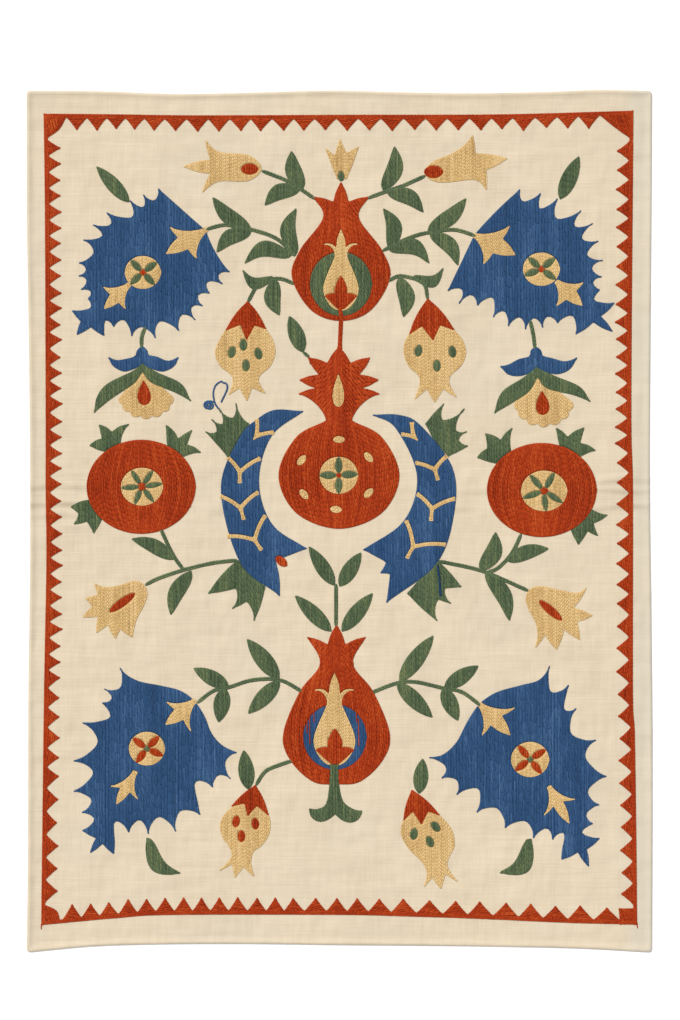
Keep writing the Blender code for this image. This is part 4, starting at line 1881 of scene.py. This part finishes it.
# The four hanging buds: gold pods in chain stitch that end in three points, under a red calyx,
# with three or four green or red seeds.
POD_SEED = (0.0088, 0.0058)
BUDS = {
    "bud_top_left": {
        "calyx": (
            ("edge", 0.06, (247.8, 301.5)),
            ("edge", 0.02, (226, 330.2), (240.6, 324.4), (246.7, 339.7), (254.5, 325.2)),
            ("edge", 0.06, (266, 329)),
        ),
        "pod": (
            ("edge", 0, (247.8, 306)),
            ("tip", 0, (226, 329)),
            ("flow", 0, (219.5, 340), (215, 352.5), (220, 366), (230, 374), (233, 381)),
            ("edge", 0.04, (229, 394.5), (239.5, 387.5), (247, 400.5), (251.8, 387.5)),
            ("tip", 0, (265, 393)),
            ("flow", 0, (258.5, 381), (261, 374.5), (270.5, 366), (275.4, 352), (272, 338)),
            ("edge", 0, (265.5, 328.5)),
        ),
        # photo_x, photo_y, turn in degrees
        "seeds": ((232, 352.4, 75), (243.5, 345.1, 90), (258.5, 353.9, 105), (246.1, 365.7, 90)),
        "seed_thread": GREEN,
    },
    "bud_top_right": {
        "calyx": (
            ("edge", 0.06, (427.7, 299)),
            ("edge", 0.02, (409.6, 334), (422, 326), (433, 340), (440, 325)),
            ("edge", 0.06, (454, 330)),
        ),
        "pod": (
            ("edge", 0, (428, 304)),
            ("tip", 0, (409.5, 333)),
            ("flow", 0, (404.5, 343), (404, 355), (409, 367), (417, 374), (420, 382)),
            ("edge", 0.04, (415, 398.6), (427, 388.5), (434.6, 402), (443, 388.5)),
            ("tip", 0, (456, 397)),
            ("flow", 0, (449, 382), (452, 374), (461, 366), (466, 353), (462.5, 340)),
            ("edge", 0, (454, 330)),
        ),
        "seeds": ((418.5, 351, 80), (452.5, 352, 100), (437, 366, 90)),
        "seed_thread": GREEN,
    },
    "bud_lower_left": {
        "calyx": (
            ("edge", 0.06, (255.4, 785.3)),
            ("edge", 0.02, (231.8, 806.1), (244.8, 802.9), (248, 815.4), (257, 805.2)),
            ("edge", 0.06, (268.4, 814.9)),
        ),
        "pod": (
            ("edge", 0, (255, 790)),
            ("tip", 0, (232.5, 806.3)),
            ("flow", 0, (223.8, 815), (220, 825), (222.5, 837.5), (229.5, 847), (231.3, 857.5)),
            ("edge", 0.04, (220, 870), (232.5, 863.3), (235, 877), (243.3, 866.3)),
            ("tip", 0, (253.8, 875.8)),
            ("flow", 0, (251, 862.5), (253.5, 851.5), (261, 846), (268.8, 835), (270.5, 822.5)),
            ("edge", 0, (268.6, 813.8)),
        ),
        "seeds": ((236.2, 821.4, 80), (255.4, 823.7, 95), (241.5, 836.2, 90)),
        "seed_thread": RED,
    },
    "bud_lower_right": {
        "calyx": (
            ("edge", 0.06, (412, 790)),
            ("edge", 0.02, (403.6, 820), (413, 811), (421.5, 824), (428, 811)),
            ("edge", 0.06, (439.4, 815)),
        ),
        "pod": (
            ("edge", 0, (414, 795)),
            ("tip", 0, (404, 817)),
            ("flow", 0, (401, 826.7), (401.7, 837), (410, 850), (421.7, 861.7), (427, 873)),
            ("edge", 0.04, (424, 886), (432.3, 877), (440.7, 888.3), (445, 873.3)),
            ("tip", 0, (457.3, 881)),
            ("flow", 0, (448, 868), (448.5, 858), (454.3, 846.7), (453.3, 833.3), (446, 821.5)),
            ("edge", 0, (439, 814.5)),
        ),
        "seeds": ((414, 834, 80), (435.7, 826.7, 130), (430, 841.7, 115)),
        "seed_thread": GREEN,
    },
}
for bud_name, bud in BUDS.items():
    calyx = rim(on_photo(bud["calyx"]))
    pod = rim(on_photo(bud["pod"]))
    seeds = [oval(place(x, y), *POD_SEED, math.radians(angle), 18) for x, y, angle in bud["seeds"]]
    sew_filled(bud_name + "_calyx", RED, [calyx])
    sew_filled(bud_name + "_pod", GOLD, [pod], [calyx, *seeds])
    sew_filled(bud_name + "_seeds", bud["seed_thread"], seeds)


# Odd ends that the maker left: a loose blue thread with a knot by the left crescent, and a
# dark blue mend over the green leaves by the right one. Each is a single line of stitches.
LOOSE_WIDTH = 0.0022
MEND_WIDTH = 0.0030
MEND_TONE = -0.45
LOOSE_LOOP = (
    (219.5, 409.5), (215.2, 404), (213.2, 393), (215.5, 385.5), (217.5, 384.3), (218.3, 381.3),
    (220.3, 383.3), (222, 380.8), (223, 383.3), (225.8, 382), (225.8, 385), (227.9, 385.8),
    (226.6, 391), (221.2, 402.3),
)
KNOT = (
    (215.3, 403), (211.5, 401.3), (206, 401.6), (203.8, 405), (207, 409), (211.5, 405.5),
    (208.5, 402.5), (205.5, 406), (209.5, 409.3), (213.8, 407), (212, 403.5), (209, 406.5),
    (205.2, 403.5), (209.8, 402), (213.5, 405.2),
)
MEND = ((437.6, 565), (439.5, 580), (440.6, 596))
loose = line(BLUE, bent(placed(LOOSE_LOOP)), LOOSE_WIDTH, 1)
loose += line(BLUE, bent(placed(KNOT)), LOOSE_WIDTH, 1)
loose += line(BLUE, bent(placed(MEND)), MEND_WIDTH, 1, MEND_TONE, ON_TOP)
sew("loose_blue_thread", BLUE, loose)


# The stage is not part of the cloth: a plain white table just under it, one wide soft lamp
# from the upper left, and an even white sky.
TABLE_SIZE = 14.0
TABLE_DROP = 0.0006
LAMP_RISE = math.radians(42)
LAMP_SIDE = math.radians(128)
LAMP_SPREAD = math.radians(15)
LAMP_POWER = 2.75
LAMP_DISTANCE = 3
SKY_POWER = 0.62

bpy.ops.object.select_all(action="DESELECT")
bpy.ops.mesh.primitive_plane_add(size=TABLE_SIZE, location=(0, 0, -TABLE_DROP))
floor = bpy.context.object
floor.name = "floor"
white = Finish("white_table", {"Roughness": 0.9, "Base Color": (0.98, 0.98, 0.98, 1.0)})
floor.data.materials.append(white.material)

lamp_data = bpy.data.lights.new("soft_light", "SUN")
lamp_data.angle = LAMP_SPREAD
lamp_data.energy = LAMP_POWER
lamp = bpy.data.objects.new("soft_light", lamp_data)
lamp_way = Vector(
    (
        math.cos(LAMP_RISE) * math.cos(LAMP_SIDE),
        math.cos(LAMP_RISE) * math.sin(LAMP_SIDE),
        math.sin(LAMP_RISE),
    )
)
lamp.location = lamp_way * LAMP_DISTANCE
lamp.rotation_euler = lamp_way.to_track_quat("Z", "Y").to_euler()
bpy.context.scene.collection.objects.link(lamp)

world = bpy.data.worlds.new("studio")
world.use_nodes = True
sky = world.node_tree.nodes["Background"]
sky.inputs["Color"].default_value = (1, 1, 1, 1)
sky.inputs["Strength"].default_value = SKY_POWER
bpy.context.scene.world = world
bpy.context.scene.view_settings.view_transform = "Standard"
